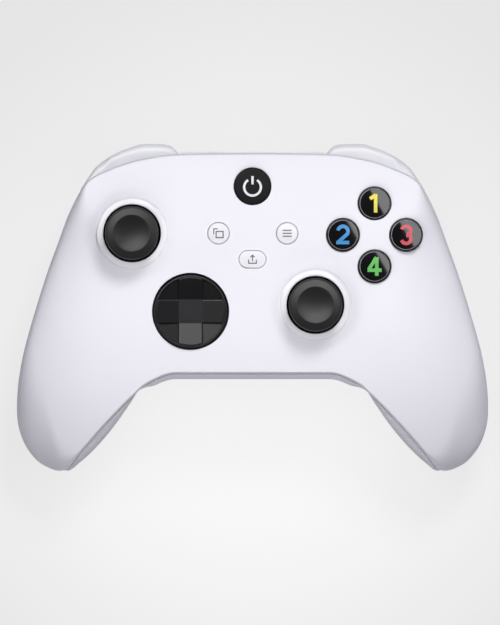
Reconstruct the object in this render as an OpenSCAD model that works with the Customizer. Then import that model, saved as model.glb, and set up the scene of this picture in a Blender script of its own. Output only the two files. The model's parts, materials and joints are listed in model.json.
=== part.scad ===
// Two-grip gamepad lying on its back, face up
// X runs to the player's right, Y towards the bumpers, Z out of the face
// The origin is on the table, under the middle of the pad

/* [Casing] */
// Width across the two grips
body_w = 153; // [149:1:158]
// Height of the face above the table
face_z = 48; // [47:0.5:50]
// Wall of the casing mouldings
wall = 2; // [1.7:0.1:2.2]
// Gap along the seams of the casing
seam_gap = 0.3; // [0.2:0.05:0.4]
// Depth of the front moulding at its top edge
front_depth = 11; // [10.5:0.25:11.5]
// Depth of the front moulding at its lower edge
lower_depth = 13; // [12:0.25:14]
// How far the grip tips lean back from the face
grip_droop = 17; // [15:0.5:18]
// How far the rear moulding shows below the front one
lower_strip = 1.9; // [1.5:0.1:2.3]
// How far the grip panels bulge past the front moulding
grip_bulge = 4.2; // [3:0.2:4.6]

/* [Sticks] */
// Outer diameter of the ring round a stick
ring_d = 22.7; // [22:0.1:23.4]
// Opening inside the ring
ring_opening_d = 18.6; // [18.2:0.1:19]
// Height of the ring above the face
ring_rise = 1.8; // [1.5:0.1:2.2]
// Diameter of the thumb cap
cap_d = 17.2; // [16:0.1:17.6]
// Thickness of the thumb cap
cap_t = 5; // [4:0.25:6]
// Diameter of the neck under the thumb cap
neck_d = 8.4; // [7.4:0.2:8.6]
// Gap between the ring and the thumb cap
cap_lift = 3.7; // [3.5:0.1:4.5]
// Depth of the stick's pivot under the ring's top
pivot_drop = 11; // [10.8:0.1:11.4]

/* [Buttons] */
// Diameter of a face button
face_button_d = 10.7; // [10:0.1:11]
// Distance of a face button from the middle of its cluster
cluster_r = 10.2; // [9.8:0.1:11]
// Height of a face button above the face
face_button_rise = 1.7; // [1.7:0.1:2.2]
// Diameter of the view and menu buttons
small_button_d = 7; // [6.4:0.1:7.4]
// Length of the share button
share_l = 8.7; // [8:0.1:9.4]
// Width of the share button
share_w = 5.5; // [5:0.1:6]
// Diameter of the guide button
guide_d = 12; // [11:0.1:12.6]
// Diameter of the direction pad
dpad_d = 23.4; // [22.6:0.1:24]
// Width of an arm of the direction pad
dpad_arm = 7.7; // [7:0.1:8.4]
// Gap round a button
button_gap = 0.25; // [0.2:0.05:0.35]

/* [Shoulders] */
// Height of a bumper
bumper_h = 11; // [10:0.25:11.5]
// Width of a trigger
trigger_w = 14; // [13:0.25:14.4]
// Radius of the trigger's finger curve
trigger_curve_r = 12.3; // [11.5:0.1:13]
// Thickness of the trigger's lever
trigger_t = 3; // [2.4:0.1:3.2]
// Diameter of the hinge pins
pin_d = 2; // [1.8:0.1:2.4]

/* [Inside] */
// Diameter of a battery cell
cell_d = 14.5; // [14.3:0.1:14.7]
// Length of a battery cell
cell_l = 50.5; // [50:0.1:51]
// Thickness of the battery door
door_t = 1.6; // [1.4:0.1:1.7]
// Thickness of the circuit board
board_t = 1.6; // [1.2:0.1:1.8]
// Thickness of the chassis plate
frame_t = 2; // [1.6:0.1:2.2]
// Diameter of a rumble motor
motor_d = 20; // [18:0.5:21]
// Diameter of the case screws
screw_d = 2.4; // [2:0.1:2.6]
// Running clearance between a pin and its hole
pin_gap = 0.05; // [0.02:0.01:0.09]
// Diameter of the headset plug's hole
jack_d = 3.6; // [3.55:0.01:3.7]

/* [Hidden] */
$fn = 48;
eps = 0.01;

// Outlines and places are drawn for a pad 153 wide and stretched along X to the set width
half_w = body_w / 2;
spread = body_w / 153;
function stretched(points) = [for (q = points) [q[0] * spread, q[1]]];

// Outline of the front moulding, right half, as points [x, y]
top_y = 50.1;
lower_y = -21.2;
tip_y = -53.2;
widest_y = -33;
top_edge = stretched([[0, top_y], [24, top_y - 0.3], [36, 48.2], [47.5, 44.4], [53.3, 41.2], [57.4, 34.9],
    [63.6, 19.4], [71.3, -3.9], [75.2, -19.4], [76.5, widest_y]]);
lower_edge = stretched([[0, lower_y], [25, lower_y], [33.7, -24.3], [39.6, -29.4], [46.3, -36.2], [56.2, -47.4],
    [60.3, -52.3], [62.5, tip_y], [68, -51.2], [72.6, -46.6], [75.9, -38.8], [76.5, widest_y]]);
side_x = top_edge[5][0];

// The rear moulding stops short of the trigger wells
well_y = 36;
well_slope = 3;
well_room_in = 4.9;
well_room_out = 2.6;
well_x0 = 24.5 * spread;
trigger_x0 = well_x0 + well_room_in;
trigger_x1 = trigger_x0 + trigger_w;
well_x1 = trigger_x1 + well_room_out;
shoulder_x = 54 * spread;
rear_top_edge = concat([[0, top_y], [well_x0 - well_slope, top_y], [well_x0, well_y], [well_x1, well_y],
    [shoulder_x, well_y - 0.3], [side_x, 33.9]], [for (k = [6:9]) top_edge[k]]);
panel_x = 36.5 * spread;

// Outer edge of the right bumper, seen from the front
bumper_edge = stretched([[24, 50.2], [26.6, 52.6], [30, 53.2], [35, 53.2], [40.3, 51.8], [45.5, 49.5],
    [50.6, 45.9], [53.2, 42.4], [55.8, 38.3]]);
bumper_x0 = bumper_edge[0][0];
bumper_x1 = bumper_edge[8][0];

// Shape of the face and the back
side_fall = 3;
top_fall = 5;
fall_y = 20;
droop_power = 2.2;
band = 6;
band_angle = 55;
depth_angle = 45;
inset_angle = 45;
top_rise = 10;
top_rise_y = 31;
top_rise_run = 18;
grip_lift = 1.5;
grip_lift_run = 6;
well_lift = 4;
well_lift_x = 58 * spread;
well_lift_x_run = 10;
well_lift_y = -5;
well_lift_y_run = 22;
tip_lift = 6;
tip_lift_y = -30;
tip_lift_run = 23;
strip_x = 31 * spread;
strip_run = 7;
bulge_x = 49.5 * spread;
bulge_half = 12 * spread;

// Rounding of the edges, small along the middle of the face and larger on the outer sides of the grips
front_roll = 3;
side_roll = 33;
side_roll_y = 42;
side_roll_run = 32;
tip_roll = 23;
tip_roll_x = 56 * spread;
tip_roll_run = 14;
edge_power = 4;
grip_power = 3;
roll_span = 4;
back_roll = 10;
back_grip_roll = 6;
roll_x = 40 * spread;
roll_run = 30;

// Grids of the curved mouldings
end_angle = 88.6;
along = 20;
across = 16;
bumper_along = 14;
bumper_across = 8;

// Places on the face
left_stick_at = [-38.9 * spread, 24.1];
right_stick_at = [20.3 * spread, 1];
dpad_at = [-20 * spread, -1.1];
cluster_at = [39.4 * spread, 23.6];
view_at = [-11 * spread, 24.1];
menu_at = [11.2 * spread, 24.1];
share_at = [0, 15.7];
guide_at = [0, 39.3];

// Stick heights, measured from the pivot
ring_top = face_z + ring_rise;
pivot_z = ring_top - pivot_drop;
ear_t = 1.4;
ear_w = 4.4;
yoke_r_in = 3.6;
yoke_r_out = 5.6;
yoke_h = 3;
stick_pin_r = 0.8;
trunnion_r = 1;
rocker_in = 6.1;
rocker_t = 1;
rocker_floor = 5.6;
rocker_bar_t = 1.7;
tail_r = 1.2;
slot_gap = 0.25;
base_floor = 7.4;
base_t = 2;
base_half = 8.6;
ear_in = yoke_r_out + 1.8;
ear_out = ear_in + ear_t;
dome_r = 11;
dome_t = 0.8;
dome_angle = 75;
shaft_r = 2;
shaft_top = 15.9;
click = 0.5;
cap_bottom = pivot_drop + cap_lift;

// Heights inside the casing
board_top = pivot_z - base_floor - base_t;
board_z = board_top - board_t;
door_z = 0.3;
cell_gap = 0.4;
cell_z = door_z + door_t + cell_gap + cell_d / 2;
frame_z = cell_z + cell_d / 2 + cell_gap;
frame_top = frame_z + frame_t;

// Battery bay
bay_y = 7;
contact_t = 0.8;
bay_wall = 1.5;
bay_x = cell_l / 2 + contact_t + 1;
bay_half_y = cell_d + 2 * cell_gap;
hump_x = bay_x + bay_wall + 1;

// Direction pad, measured from its pivot
dpad_hole_r = dpad_d / 2 + 0.75;
dpad_pivot = 6;
dpad_z = face_z - dpad_pivot;
dpad_ring_in = 4.2;
dpad_ring_out = 6.4;
dpad_ear_in = 7.2;
dpad_ear_t = 1.6;
dpad_post_r = 3;
dpad_pin_r = 0.9;
dpad_floor = 3.2;
dpad_crown = 6.6;

// Buttons
small_rise = 0.9;
flange = 1;
flange_t = 1.2;
flange_gap = 1;
face_travel = 1.6;
small_travel = 0.8;
stem_r = 1.3;
stem_gap = 0.4;
face_stem = 8;

// Shoulders
pin_r = pin_d / 2;
trigger_y = 40;
trigger_z = face_z - 28;
trigger_hub_r = 2.6;
trigger_arc_y = 60.8;
trigger_arc_z = trigger_z - 8.5;
trigger_half_angle = 33;
trigger_ear_t = 1.2;
trigger_ear_reach = 2.6;
ear_gap = 0.3;
bumper_post = [26 * spread, 41.5];
knuckle_r = 2.2;
knuckle_low = 3.2;
knuckle_high = 2;
bumper_back = 44.6;
bumper_end_back = 37.5;
bumper_turn = 3;

// Chassis
screw_spots = [[57.5 * spread, 6], [34 * spread, -14]];
screw_head_r = 2.4;
screw_head_t = 2;
screw_bite = 6;
boss_r = 3;
boss_sink = 0.9;
post_spots = [[25 * spread, 33], [27 * spread, -12], [46 * spread, 4]];
post_r = 2.5;
motor_at = [52 * spread, -22];
motor_l = 12.5;
motor_shaft_r = 1;
weight_r = 8.2;
weight_t = 6.6;
weight_gap = 1;
small_motor_y = 29;
small_motor_x = trigger_x0 + 3.6;
small_motor_r = 3.2;
small_motor_l = 9;
small_weight_t = 3.6;
cradle_h = 2;

// Sockets
usb_w = 8.9;
usb_h = 3.2;
usb_wall = 0.3;
usb_depth = 6.5;
usb_z = 26;
bridge_back = 44;
bridge_x = bumper_x0 - 0.8;
bridge_out = 0.4;
pair_at = -13;
pair_r = 1.8;
pair_rise = 0.15;
socket_recess = 0.5;
jack_x = 7;
jack_r = 3;
jack_l = 12;
socket_z = 24;
expansion_x = -7;
expansion_w = 11;
expansion_h = 4.4;
expansion_wall = 0.8;

// Smooth step from 0 to 1
function ease(t) = let (u = min(1, max(0, t))) u * u * (3 - 2 * u);

// Rise and run between two neighbouring points
function run(points, k) = (points[k + 1][1] - points[k][1]) / (points[k + 1][0] - points[k][0]);

// Slope of the monotone curve at point k, level where it starts on the centre line
function slope(points, k) =
    k == 0 ? (points[0][0] == 0 ? 0 : run(points, 0))
    : k == len(points) - 1 ? run(points, k - 1)
    : let (a = run(points, k - 1), b = run(points, k)) a * b > 0 ? 2 * a * b / (a + b) : 0;

// Monotone cubic through the points [place, value]
function curve(points, p) =
    let (past = len([for (q = points) if (q[0] <= p) 1]),
         k = min(len(points) - 2, max(0, past - 1)),
         step = points[k + 1][0] - points[k][0],
         t = (p - points[k][0]) / step,
         a = points[k][1],
         b = points[k + 1][1],
         rise = 3 * (b - a) - step * (2 * slope(points, k) + slope(points, k + 1)),
         bend = 2 * (a - b) + step * (slope(points, k) + slope(points, k + 1)))
    a + t * (step * slope(points, k) + t * (rise + t * bend));

// Outline points with x turned into the sweep angle from the centre line
function swept(points) = [for (q = points) [asin(min(1, q[0] / half_w)), q[1]]];
top_sweep = swept(top_edge);
lower_sweep = swept(lower_edge);
rear_top_sweep = swept(rear_top_edge);

// Share of a step along the outline that runs along X, from the places d degrees to both sides
function lean(points, a, d = 0.2) =
    let (dx = half_w * (sin(a + d) - sin(a - d)), dy = curve(points, a + d) - curve(points, a - d))
    abs(dx) / norm([dx, dy]);

// Rounded edge: 0 at the edge, 1 at distance r and beyond; a quarter-round at power 2, squarer above
function roll(d, r, power = 2) = let (u = min(1, max(0, d / r))) pow(1 - pow(1 - u, power), 1 / power);

// Height of the face before its edges are rounded
function face(x, y) =
    face_z - side_fall * pow(x / half_w, 2)
    - top_fall * pow(max(0, (y - fall_y) / (top_y - fall_y)), 2)
    - grip_droop * pow(max(0, y / tip_y), droop_power);

// Height of the seam under the upper and the lower edge, which meet at the sides
function upper_depth(a) =
    front_depth + (lower_depth - front_depth) * ease((a - depth_angle) / (end_angle - depth_angle));
function upper_seam(a) = face(half_w * sin(a), curve(top_sweep, a)) - upper_depth(a);
function lower_seam(a) = face(half_w * sin(a), curve(lower_sweep, a)) - lower_depth;

// Height of the back before its edges are rounded
function back(x, y) =
    let (beside_well = ease((well_lift_x - x) / well_lift_x_run) * ease((y - well_lift_y) / well_lift_y_run))
    ease((x - hump_x) / grip_lift_run) * (grip_lift + well_lift * beside_well)
    + top_rise * ease((y - top_rise_y) / top_rise_run)
    + tip_lift * pow(max(0, (tip_lift_y - y) / tip_lift_run), 2);

// How far the rear moulding reaches past the front one at its lower edge
function bulge(x) =
    lower_strip * (1 - ease((x - strip_x) / strip_run))
    + grip_bulge * max(0, 1 - pow((x - bulge_x) / bulge_half, 2));

// Upper rim of the rear moulding, lower under the bumpers and in the trigger wells
well_rim = face_z - 33;
bridge_rim = face_z - 31.5;
shoulder_rim = face_z - 28.7;
rim_run = 2.5;
function rear_rim(a) =
    let (x = half_w * sin(a),
         centre = bridge_rim + (well_rim - bridge_rim) * ease(1 + (x - well_x0) / rim_run),
         outer = centre + (shoulder_rim - well_rim) * ease((x - well_x1) / rim_run + 0.25))
    outer + (upper_seam(a) - seam_gap - outer) * ease((x - shoulder_x) / (side_x - shoulder_x));

// Place along X of sweep angle s, moved inwards at the sides by inset
function sweep_x(s, inset) = half_w * sin(s) - inset * ease((s - inset_angle) / (end_angle - inset_angle));

// Top and lower edge of the front moulding at sweep angle s, moved inwards by inset
function front_top(s, inset) = curve(top_sweep, s) - inset * lean(top_sweep, s);
function front_low(s, inset) = curve(lower_sweep, s) + inset * lean(lower_sweep, s);

// Height of the front moulding at sweep angle s and place y, moved inwards by inset
function front_height(s, y, inset) =
    let (top = front_top(s, inset),
         low = front_low(s, inset),
         x = sweep_x(s, inset),
         side = ease((side_roll_y - y) / side_roll_run),
         tip = ease((x - tip_roll_x) / tip_roll_run),
         seam = lower_seam(s) + (upper_seam(s) - lower_seam(s)) * (y - low) / (top - low),
         upper = roll((top - y) * lean(top_sweep, s, roll_span), front_roll + side_roll * side - inset,
                      edge_power + (grip_power - edge_power) * side),
         lower = roll((y - low) * lean(lower_sweep, s, roll_span), front_roll + tip_roll * tip - inset,
                      edge_power + (grip_power - edge_power) * tip))
    seam + (face(x, y) - inset - seam) * upper * lower;

// Point k across the front moulding at sweep angle a, moved inwards by inset
function front_point(a, k, inset) =
    let (s = abs(a),
         low = front_low(s, inset),
         y = low + (front_top(s, inset) - low) * (1 - cos(180 * k / across)) / 2)
    [sign(a) * sweep_x(s, inset), y, front_height(s, y, inset)];

// Point k across the rear moulding at sweep angle a, moved inwards by inset
// Beside the trigger wells the wall's thickness and rounding are measured along Y
function rear_point(a, k, inset) =
    let (s = abs(a),
         x = sweep_x(s, inset),
         top_lean = max(lean(rear_top_sweep, s), 1 - ease((x - well_x1) / (shoulder_x - well_x1))),
         top = curve(rear_top_sweep, s) - inset * top_lean,
         low = front_low(s, inset),
         wide = low - bulge(half_w * sin(s)),
         v = (1 - cos(180 * max(0, k - 1) / across)) / 2,
         y = k == 0 ? low : wide + (top - wide) * v,
         r = back_roll + back_grip_roll * ease((x - roll_x) / roll_run) - inset,
         seam = lower_seam(s) - seam_gap,
         low_rim = seam - band * (1 - ease((s - band_angle) / (end_angle - band_angle))),
         rim = low_rim + (rear_rim(s) - low_rim) * v,
         edge = roll((top - y) * top_lean, r) * roll((y - wide) * lean(lower_sweep, s), r))
    [sign(a) * x, y, k == 0 ? seam : rim - (rim - back(x, y) - inset) * edge];

// Point k across the right bumper at place x along it
function bumper_point(x, k) =
    let (a = asin(x / half_w),
         w = 2 * k / bumper_across - 1,
         back_y = bumper_back + (bumper_end_back - bumper_back) * ease((x - well_x1) / bumper_turn),
         round = pow(1 - pow(abs(w), 4), 0.25),
         high = upper_seam(a) - seam_gap)
    [x, back_y + (curve(bumper_edge, x) - back_y) * round, high - bumper_h * (1 + w) / 2];

// Closed skin between an outer and an inner grid of points
module sheet(outer, inner) {
    n = len(outer);
    m = len(outer[0]);
    function at(i, j) = i * m + j;
    function inside(i, j) = n * m + i * m + j;
    skins = [for (i = [0:n - 2]) for (j = [0:m - 2]) each [
        [at(i, j), at(i, j + 1), at(i + 1, j + 1)],
        [at(i, j), at(i + 1, j + 1), at(i + 1, j)],
        [inside(i, j), inside(i + 1, j + 1), inside(i, j + 1)],
        [inside(i, j), inside(i + 1, j), inside(i + 1, j + 1)]]];
    sides = [for (i = [0:n - 2]) each [
        [at(i, 0), at(i + 1, 0), inside(i + 1, 0)],
        [at(i, 0), inside(i + 1, 0), inside(i, 0)],
        [at(i, m - 1), inside(i + 1, m - 1), at(i + 1, m - 1)],
        [at(i, m - 1), inside(i, m - 1), inside(i + 1, m - 1)]]];
    ends = [for (j = [0:m - 2]) each [
        [at(0, j), inside(0, j + 1), at(0, j + 1)],
        [at(0, j), inside(0, j), inside(0, j + 1)],
        [at(n - 1, j), at(n - 1, j + 1), inside(n - 1, j + 1)],
        [at(n - 1, j), inside(n - 1, j + 1), inside(n - 1, j)]]];
    polyhedron(
        points = concat([for (row = outer) each row], [for (row = inner) each row]),
        faces = concat(skins, sides, ends));
}

// The front moulding before its holes are cut
module front_sheet() {
    angles = [for (i = [-along:along]) end_angle * i / along];
    sheet([for (a = angles) [for (k = [0:across]) front_point(a, k, 0)]],
        [for (a = angles) [for (k = [0:across]) front_point(a, k, wall)]]);
}

// Part of the rear moulding that covers the given sweep angles, the largest first
module rear_sheet(angles) {
    sheet([for (a = angles) [for (k = [0:across + 1]) rear_point(a, k, 0)]],
        [for (a = angles) [for (k = [0:across + 1]) rear_point(a, k, wall)]]);
}

// The same thing at the left and at the right
module both_sides() {
    for (side = [0, 1]) mirror([side, 0, 0]) children();
}

// Upright hole or peg that starts at point p
module upright(p, z0, z1, r) {
    translate([p[0], p[1], z0]) cylinder(r = r, h = z1 - z0);
}

// Bar along X or Y through the origin
module x_bar(x0, x1, r) { translate([x0, 0, 0]) rotate([0, 90, 0]) cylinder(r = r, h = x1 - x0); }
module y_bar(y0, y1, r) { translate([0, y0, 0]) rotate([-90, 0, 0]) cylinder(r = r, h = y1 - y0); }

// Flat plate with round ends
module pill(l, w, h) {
    cube([l - w, w, h], center = true);
    for (x = [-1, 1]) translate([x * (l - w) / 2, 0, 0]) cylinder(d = w, h = h, center = true);
}

// Where the four face buttons stand
function cluster_spot(turn) = cluster_at + cluster_r * [cos(turn), sin(turn)];

// Casing

module front_shell() {
    hole_h = 4 * wall;
    color("whitesmoke") difference() {
        union() {
            front_sheet();
            both_sides() for (p = screw_spots)
                upright(p, frame_top, face(p[0], p[1]) - boss_sink * wall, boss_r);
        }
        for (p = [left_stick_at, right_stick_at])
            upright(p, face_z - hole_h, face_z + wall, ring_d / 2 + seam_gap);
        upright(dpad_at, face_z - hole_h, face_z + wall, dpad_hole_r);
        for (turn = [0:90:270])
            upright(cluster_spot(turn), face_z - hole_h, face_z + wall, face_button_d / 2 + button_gap);
        for (p = [view_at, menu_at])
            upright(p, face_z - hole_h, face_z + wall, small_button_d / 2 + button_gap);
        upright(guide_at, face_z - hole_h, face_z + wall, guide_d / 2 + button_gap);
        translate([share_at[0], share_at[1], face_z])
            pill(share_l + 2 * button_gap, share_w + 2 * button_gap, hole_h);
        both_sides() for (p = screw_spots)
            upright(p, frame_top - eps, frame_top + screw_bite + 1, screw_d / 2 + pin_gap);
    }
}

module rear_shell() {
    a = asin(panel_x / half_w);
    color("whitesmoke") difference() {
        rear_sheet([for (i = [along:-2:-along]) a * i / along]);
        translate([0, bay_y, 0]) cube([2 * bay_x, 2 * bay_half_y, 4 * wall], center = true);
        translate([jack_x, lower_y, socket_z]) y_bar(-4 * wall, 3 * wall, jack_r + seam_gap);
        translate([expansion_x, lower_y, socket_z])
            cube([expansion_w + 2 * seam_gap, 8 * wall, expansion_h + 2 * seam_gap], center = true);
    }
}

module grip_panel() {
    start = asin((panel_x + seam_gap) / half_w);
    rows = [for (i = [along:-1:1]) end_angle * i / along];
    color("gainsboro") rear_sheet(concat([for (a = rows) if (a > start + 1) a], [start]));
}
module left_grip_panel() { mirror([1, 0, 0]) grip_panel(); }
module right_grip_panel() { grip_panel(); }

module top_bridge() {
    high = upper_seam(0) - seam_gap;
    color("silver") difference() {
        translate([-bridge_x, bridge_back, bridge_rim + seam_gap])
            cube([2 * bridge_x, top_y + bridge_out - bridge_back, high - bridge_rim - seam_gap]);
        translate([0, top_y, usb_z]) rotate([90, 0, 0])
            pill(usb_w + 2 * seam_gap, usb_h + 2 * seam_gap, 4 * usb_depth);
        translate([pair_at, top_y, usb_z]) y_bar(-usb_depth, wall, pair_r + button_gap);
    }
}

module battery_door() {
    color("gainsboro") translate([0, bay_y, door_z + door_t / 2])
        cube([2 * (bay_x - seam_gap), 2 * (bay_half_y - seam_gap), door_t], center = true);
}

// Chassis plate outline, right half
frame_inset = 1;
frame_post_edge = bumper_post[0] + 2;
frame_outline = concat([[0, 43], [frame_post_edge, 43], [frame_post_edge, well_y - frame_inset],
    [trigger_x1 + ear_gap + trigger_ear_t, well_y - frame_inset]],
    stretched([[50, 18], [61.5, 12], [61.5, 0], [56.5, -9], [62.5, -17], [62.5, -29], [52, -33], [43, -29],
    [38, -19], [0, -19]]));

module mid_frame() {
    ear_from = well_y - 4;
    color("dimgray") difference() {
        union() {
            both_sides() translate([0, 0, frame_z]) linear_extrude(frame_t) polygon(frame_outline);
            // Battery bay walls reach down to the floor of the rear moulding
            difference() {
                translate([-bay_x - bay_wall, bay_y - bay_half_y - bay_wall, wall + seam_gap])
                    cube([2 * (bay_x + bay_wall), 2 * (bay_half_y + bay_wall),
                        frame_z + eps - wall - seam_gap]);
                translate([-bay_x, bay_y - bay_half_y, 0]) cube([2 * bay_x, 2 * bay_half_y, frame_z]);
            }
            // Posts that carry the circuit board
            both_sides() for (p = post_spots) upright(p, frame_top - eps, board_z, post_r);
            both_sides() {
                // Bumper hinge posts
                upright(bumper_post, frame_top - eps, upper_seam(asin(bumper_post[0] / half_w)) - 2, pin_r);
                // Trigger hinge ears
                for (x = [trigger_x0 - ear_gap - trigger_ear_t, trigger_x1 + ear_gap])
                    translate([x, ear_from, frame_z]) cube([trigger_ear_t,
                        trigger_y + trigger_ear_reach - ear_from, trigger_z + trigger_ear_reach - frame_z]);
                // Back wall of the trigger well
                translate([trigger_x0 - 2, well_y - frame_inset - wall, well_rim + seam_gap])
                    cube([trigger_w - 2, wall, frame_z - well_rim - seam_gap + eps]);
                // Cradle of the trigger motor
                translate([small_motor_x + 1, small_motor_y - small_motor_r, frame_z - cradle_h])
                    cube([small_motor_l - 2, 2 * small_motor_r, cradle_h + eps]);
            }
        }
        both_sides() {
            translate([trigger_x0 - 2, trigger_y, trigger_z]) x_bar(-2, trigger_w + 6, pin_r + pin_gap / 2);
            for (p = screw_spots) upright(p, frame_z - eps, frame_top + eps, screw_d / 2 + pin_gap);
            upright(motor_at, frame_z - eps, frame_top + eps, motor_shaft_r + weight_gap);
        }
    }
}

module case_screws() {
    color("gray") both_sides() for (p = screw_spots) {
        upright(p, frame_z - screw_head_t, frame_z, screw_head_r);
        upright(p, frame_z - eps, frame_top + screw_bite, screw_d / 2);
    }
}

// Boards and contacts

board_outline = stretched([[0, 41], [14, 41], [16, 38], [44, 38], [50, 26], [53, 10], [53, -5], [30, -8],
    [29, -16], [0, -16]]);

module main_board() {
    color("darkgreen") both_sides() translate([0, 0, board_z]) linear_extrude(board_t) polygon(board_outline);
}

module button_membrane() {
    sheet_t = 1;
    sheet_w = 26;
    dome_r = 4;
    dome_drop = face_stem + face_travel + 2 * stem_gap;
    color("lightgray") {
        translate([cluster_at[0], cluster_at[1] - 1, board_top + sheet_t / 2])
            cube([sheet_w, sheet_w, sheet_t], center = true);
        for (turn = [0:90:270]) let (p = cluster_spot(turn))
            upright(p, board_top + sheet_t - eps, face(p[0], p[1]) - dome_drop, dome_r);
    }
}

module battery_cells() {
    color("darkseagreen") for (side = [-1, 1])
        translate([0, bay_y + side * (cell_d + cell_gap) / 2, cell_z])
            x_bar(-cell_l / 2, cell_l / 2, cell_d / 2);
}

module battery_contacts() {
    color("silver") for (end = [-1, 1]) for (side = [-1, 1])
        translate([end * (bay_x - contact_t / 2), bay_y + side * (cell_d + cell_gap) / 2, cell_z])
            cube([contact_t, cell_d * 0.6, cell_d * 0.6], center = true);
}

// Sticks, each drawn round its own pivot

module at_pivot(p) { translate([p[0], p[1], pivot_z]) children(); }

module stick_ring(p) {
    low = face(p[0], p[1]) - wall - pivot_z;
    r_in = ring_opening_d / 2;
    r_out = ring_d / 2;
    crest = (r_out - r_in) / 2;
    color("white") at_pivot(p) rotate_extrude() polygon(concat(
        [[r_in + 1, low], [r_in, low + 1.4]],
        [for (t = [180:-15:0]) [r_in + crest * (1 + cos(t)), pivot_drop - crest + crest * sin(t)]],
        [[r_out, low]]));
}

module stick_base(p) {
    color("silver") at_pivot(p) difference() {
        union() {
            translate([-base_half, -base_half, -base_floor - base_t])
                cube([2 * base_half, 2 * base_half, base_t]);
            for (turn = [0:90:270]) rotate([0, 0, turn])
                translate([ear_in, -ear_w / 2, -base_floor - eps]) cube([ear_t, ear_w, base_floor + ear_w / 2]);
        }
        x_bar(-ear_out - 1, ear_out + 1, trunnion_r + pin_gap);
        y_bar(-ear_out - 1, ear_out + 1, trunnion_r + pin_gap);
    }
}

// Ring that turns on pegs along X and carries a pin along Y
module gimbal_ring(r_in, r_out, h, peg_end, peg_r, hole_r) {
    difference() {
        union() {
            cylinder(r = r_out, h = h, center = true);
            for (turn = [0, 180]) rotate([0, 0, turn]) x_bar(r_in + (r_out - r_in) / 2, peg_end, peg_r);
        }
        cylinder(r = r_in, h = 2 * h, center = true);
        y_bar(-2 * r_out, 2 * r_out, hole_r);
    }
}

module stick_yoke(p) {
    color("gray") at_pivot(p)
        gimbal_ring(yoke_r_in, yoke_r_out, yoke_h, ear_out, trunnion_r, stick_pin_r + pin_gap);
}

// Second arch, swung by the stick's tail
module stick_rocker(p) {
    arm_w = 3;
    bar_w = 5.2;
    slot_l = 7.2;
    color("gray") at_pivot(p) difference() {
        union() {
            for (turn = [0, 180]) rotate([0, 0, turn]) {
                y_bar(rocker_in, ear_out, trunnion_r);
                translate([-arm_w / 2, rocker_in, -rocker_floor])
                    cube([arm_w, rocker_t, rocker_floor + arm_w / 2]);
            }
            translate([-bar_w / 2, -rocker_in - rocker_t, -rocker_floor])
                cube([bar_w, 2 * (rocker_in + rocker_t), rocker_bar_t]);
        }
        translate([0, 0, -rocker_floor]) rotate([0, 0, 90])
            pill(slot_l, 2 * (tail_r + slot_gap), 4 * rocker_bar_t);
    }
}

module stick_shaft(p) {
    hub_r = 2.6;
    hub_h = 4.4;
    color("black") at_pivot(p) {
        cylinder(r = hub_r, h = hub_h, center = true);
        cylinder(r = shaft_r, h = shaft_top);
        translate([0, 0, -rocker_floor]) cylinder(r = tail_r, h = rocker_floor);
        y_bar(-yoke_r_out + 0.1, yoke_r_out - 0.1, stick_pin_r);
    }
}

module stick_cap(p) {
    r = cap_d / 2;
    neck_r = neck_d / 2;
    top = cap_bottom + cap_t;
    rim = 1.5;
    dish_r = 5.8;
    dish_drop = 1.2;
    boss = shaft_r + 1.4;
    boss_low = 5.5;
    inner = dome_r - dome_t;
    color("black") at_pivot(p) difference() {
        rotate_extrude() polygon(concat(
            [for (i = [0:4]) [dish_r * i / 4, top - dish_drop * (1 - pow(i / 4, 2))]],
            [for (t = [90:-22.5:-90]) [r - rim + rim * cos(t), top - rim + rim * sin(t)]],
            [[r - rim, cap_bottom + 0.4], [neck_r + 1, cap_bottom], [neck_r, cap_bottom - 1]],
            [for (t = [asin(neck_r / dome_r):6:dome_angle]) dome_r * [sin(t), cos(t)]],
            [dome_r * [sin(dome_angle), cos(dome_angle)], inner * [sin(dome_angle), cos(dome_angle)]],
            [for (t = [dome_angle - 6:-6:asin(boss / inner)]) inner * [sin(t), cos(t)]],
            [[boss, sqrt(inner * inner - boss * boss)], [boss, boss_low], [0, boss_low]]));
        cylinder(r = shaft_r + pin_gap, h = shaft_top + click + 0.2);
    }
}

module left_stick_ring() { stick_ring(left_stick_at); }
module left_stick_base() { stick_base(left_stick_at); }
module left_stick_yoke() { stick_yoke(left_stick_at); }
module left_stick_rocker() { stick_rocker(left_stick_at); }
module left_stick_shaft() { stick_shaft(left_stick_at); }
module left_stick_cap() { stick_cap(left_stick_at); }
module right_stick_ring() { stick_ring(right_stick_at); }
module right_stick_base() { stick_base(right_stick_at); }
module right_stick_yoke() { stick_yoke(right_stick_at); }
module right_stick_rocker() { stick_rocker(right_stick_at); }
module right_stick_shaft() { stick_shaft(right_stick_at); }
module right_stick_cap() { stick_cap(right_stick_at); }

// Direction pad

module at_dpad() { translate([dpad_at[0], dpad_at[1], dpad_z]) children(); }

module dpad_base() {
    floor_t = 1.5;
    ear_top = 1.8;
    low = board_top - dpad_z;
    end = dpad_ear_in + dpad_ear_t;
    color("dimgray") at_dpad() difference() {
        union() {
            translate([-end, -ear_w / 2, low]) cube([2 * end, ear_w, floor_t]);
            for (turn = [0, 180]) rotate([0, 0, turn])
                translate([dpad_ear_in, -ear_w / 2, low]) cube([dpad_ear_t, ear_w, ear_top - low]);
        }
        x_bar(-end - 1, end + 1, trunnion_r + pin_gap);
    }
}

module dpad_plate() {
    color("silver") at_dpad() gimbal_ring(dpad_ring_in, dpad_ring_out, yoke_h, dpad_ear_in + dpad_ear_t,
        trunnion_r, dpad_pin_r + pin_gap);
}

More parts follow.
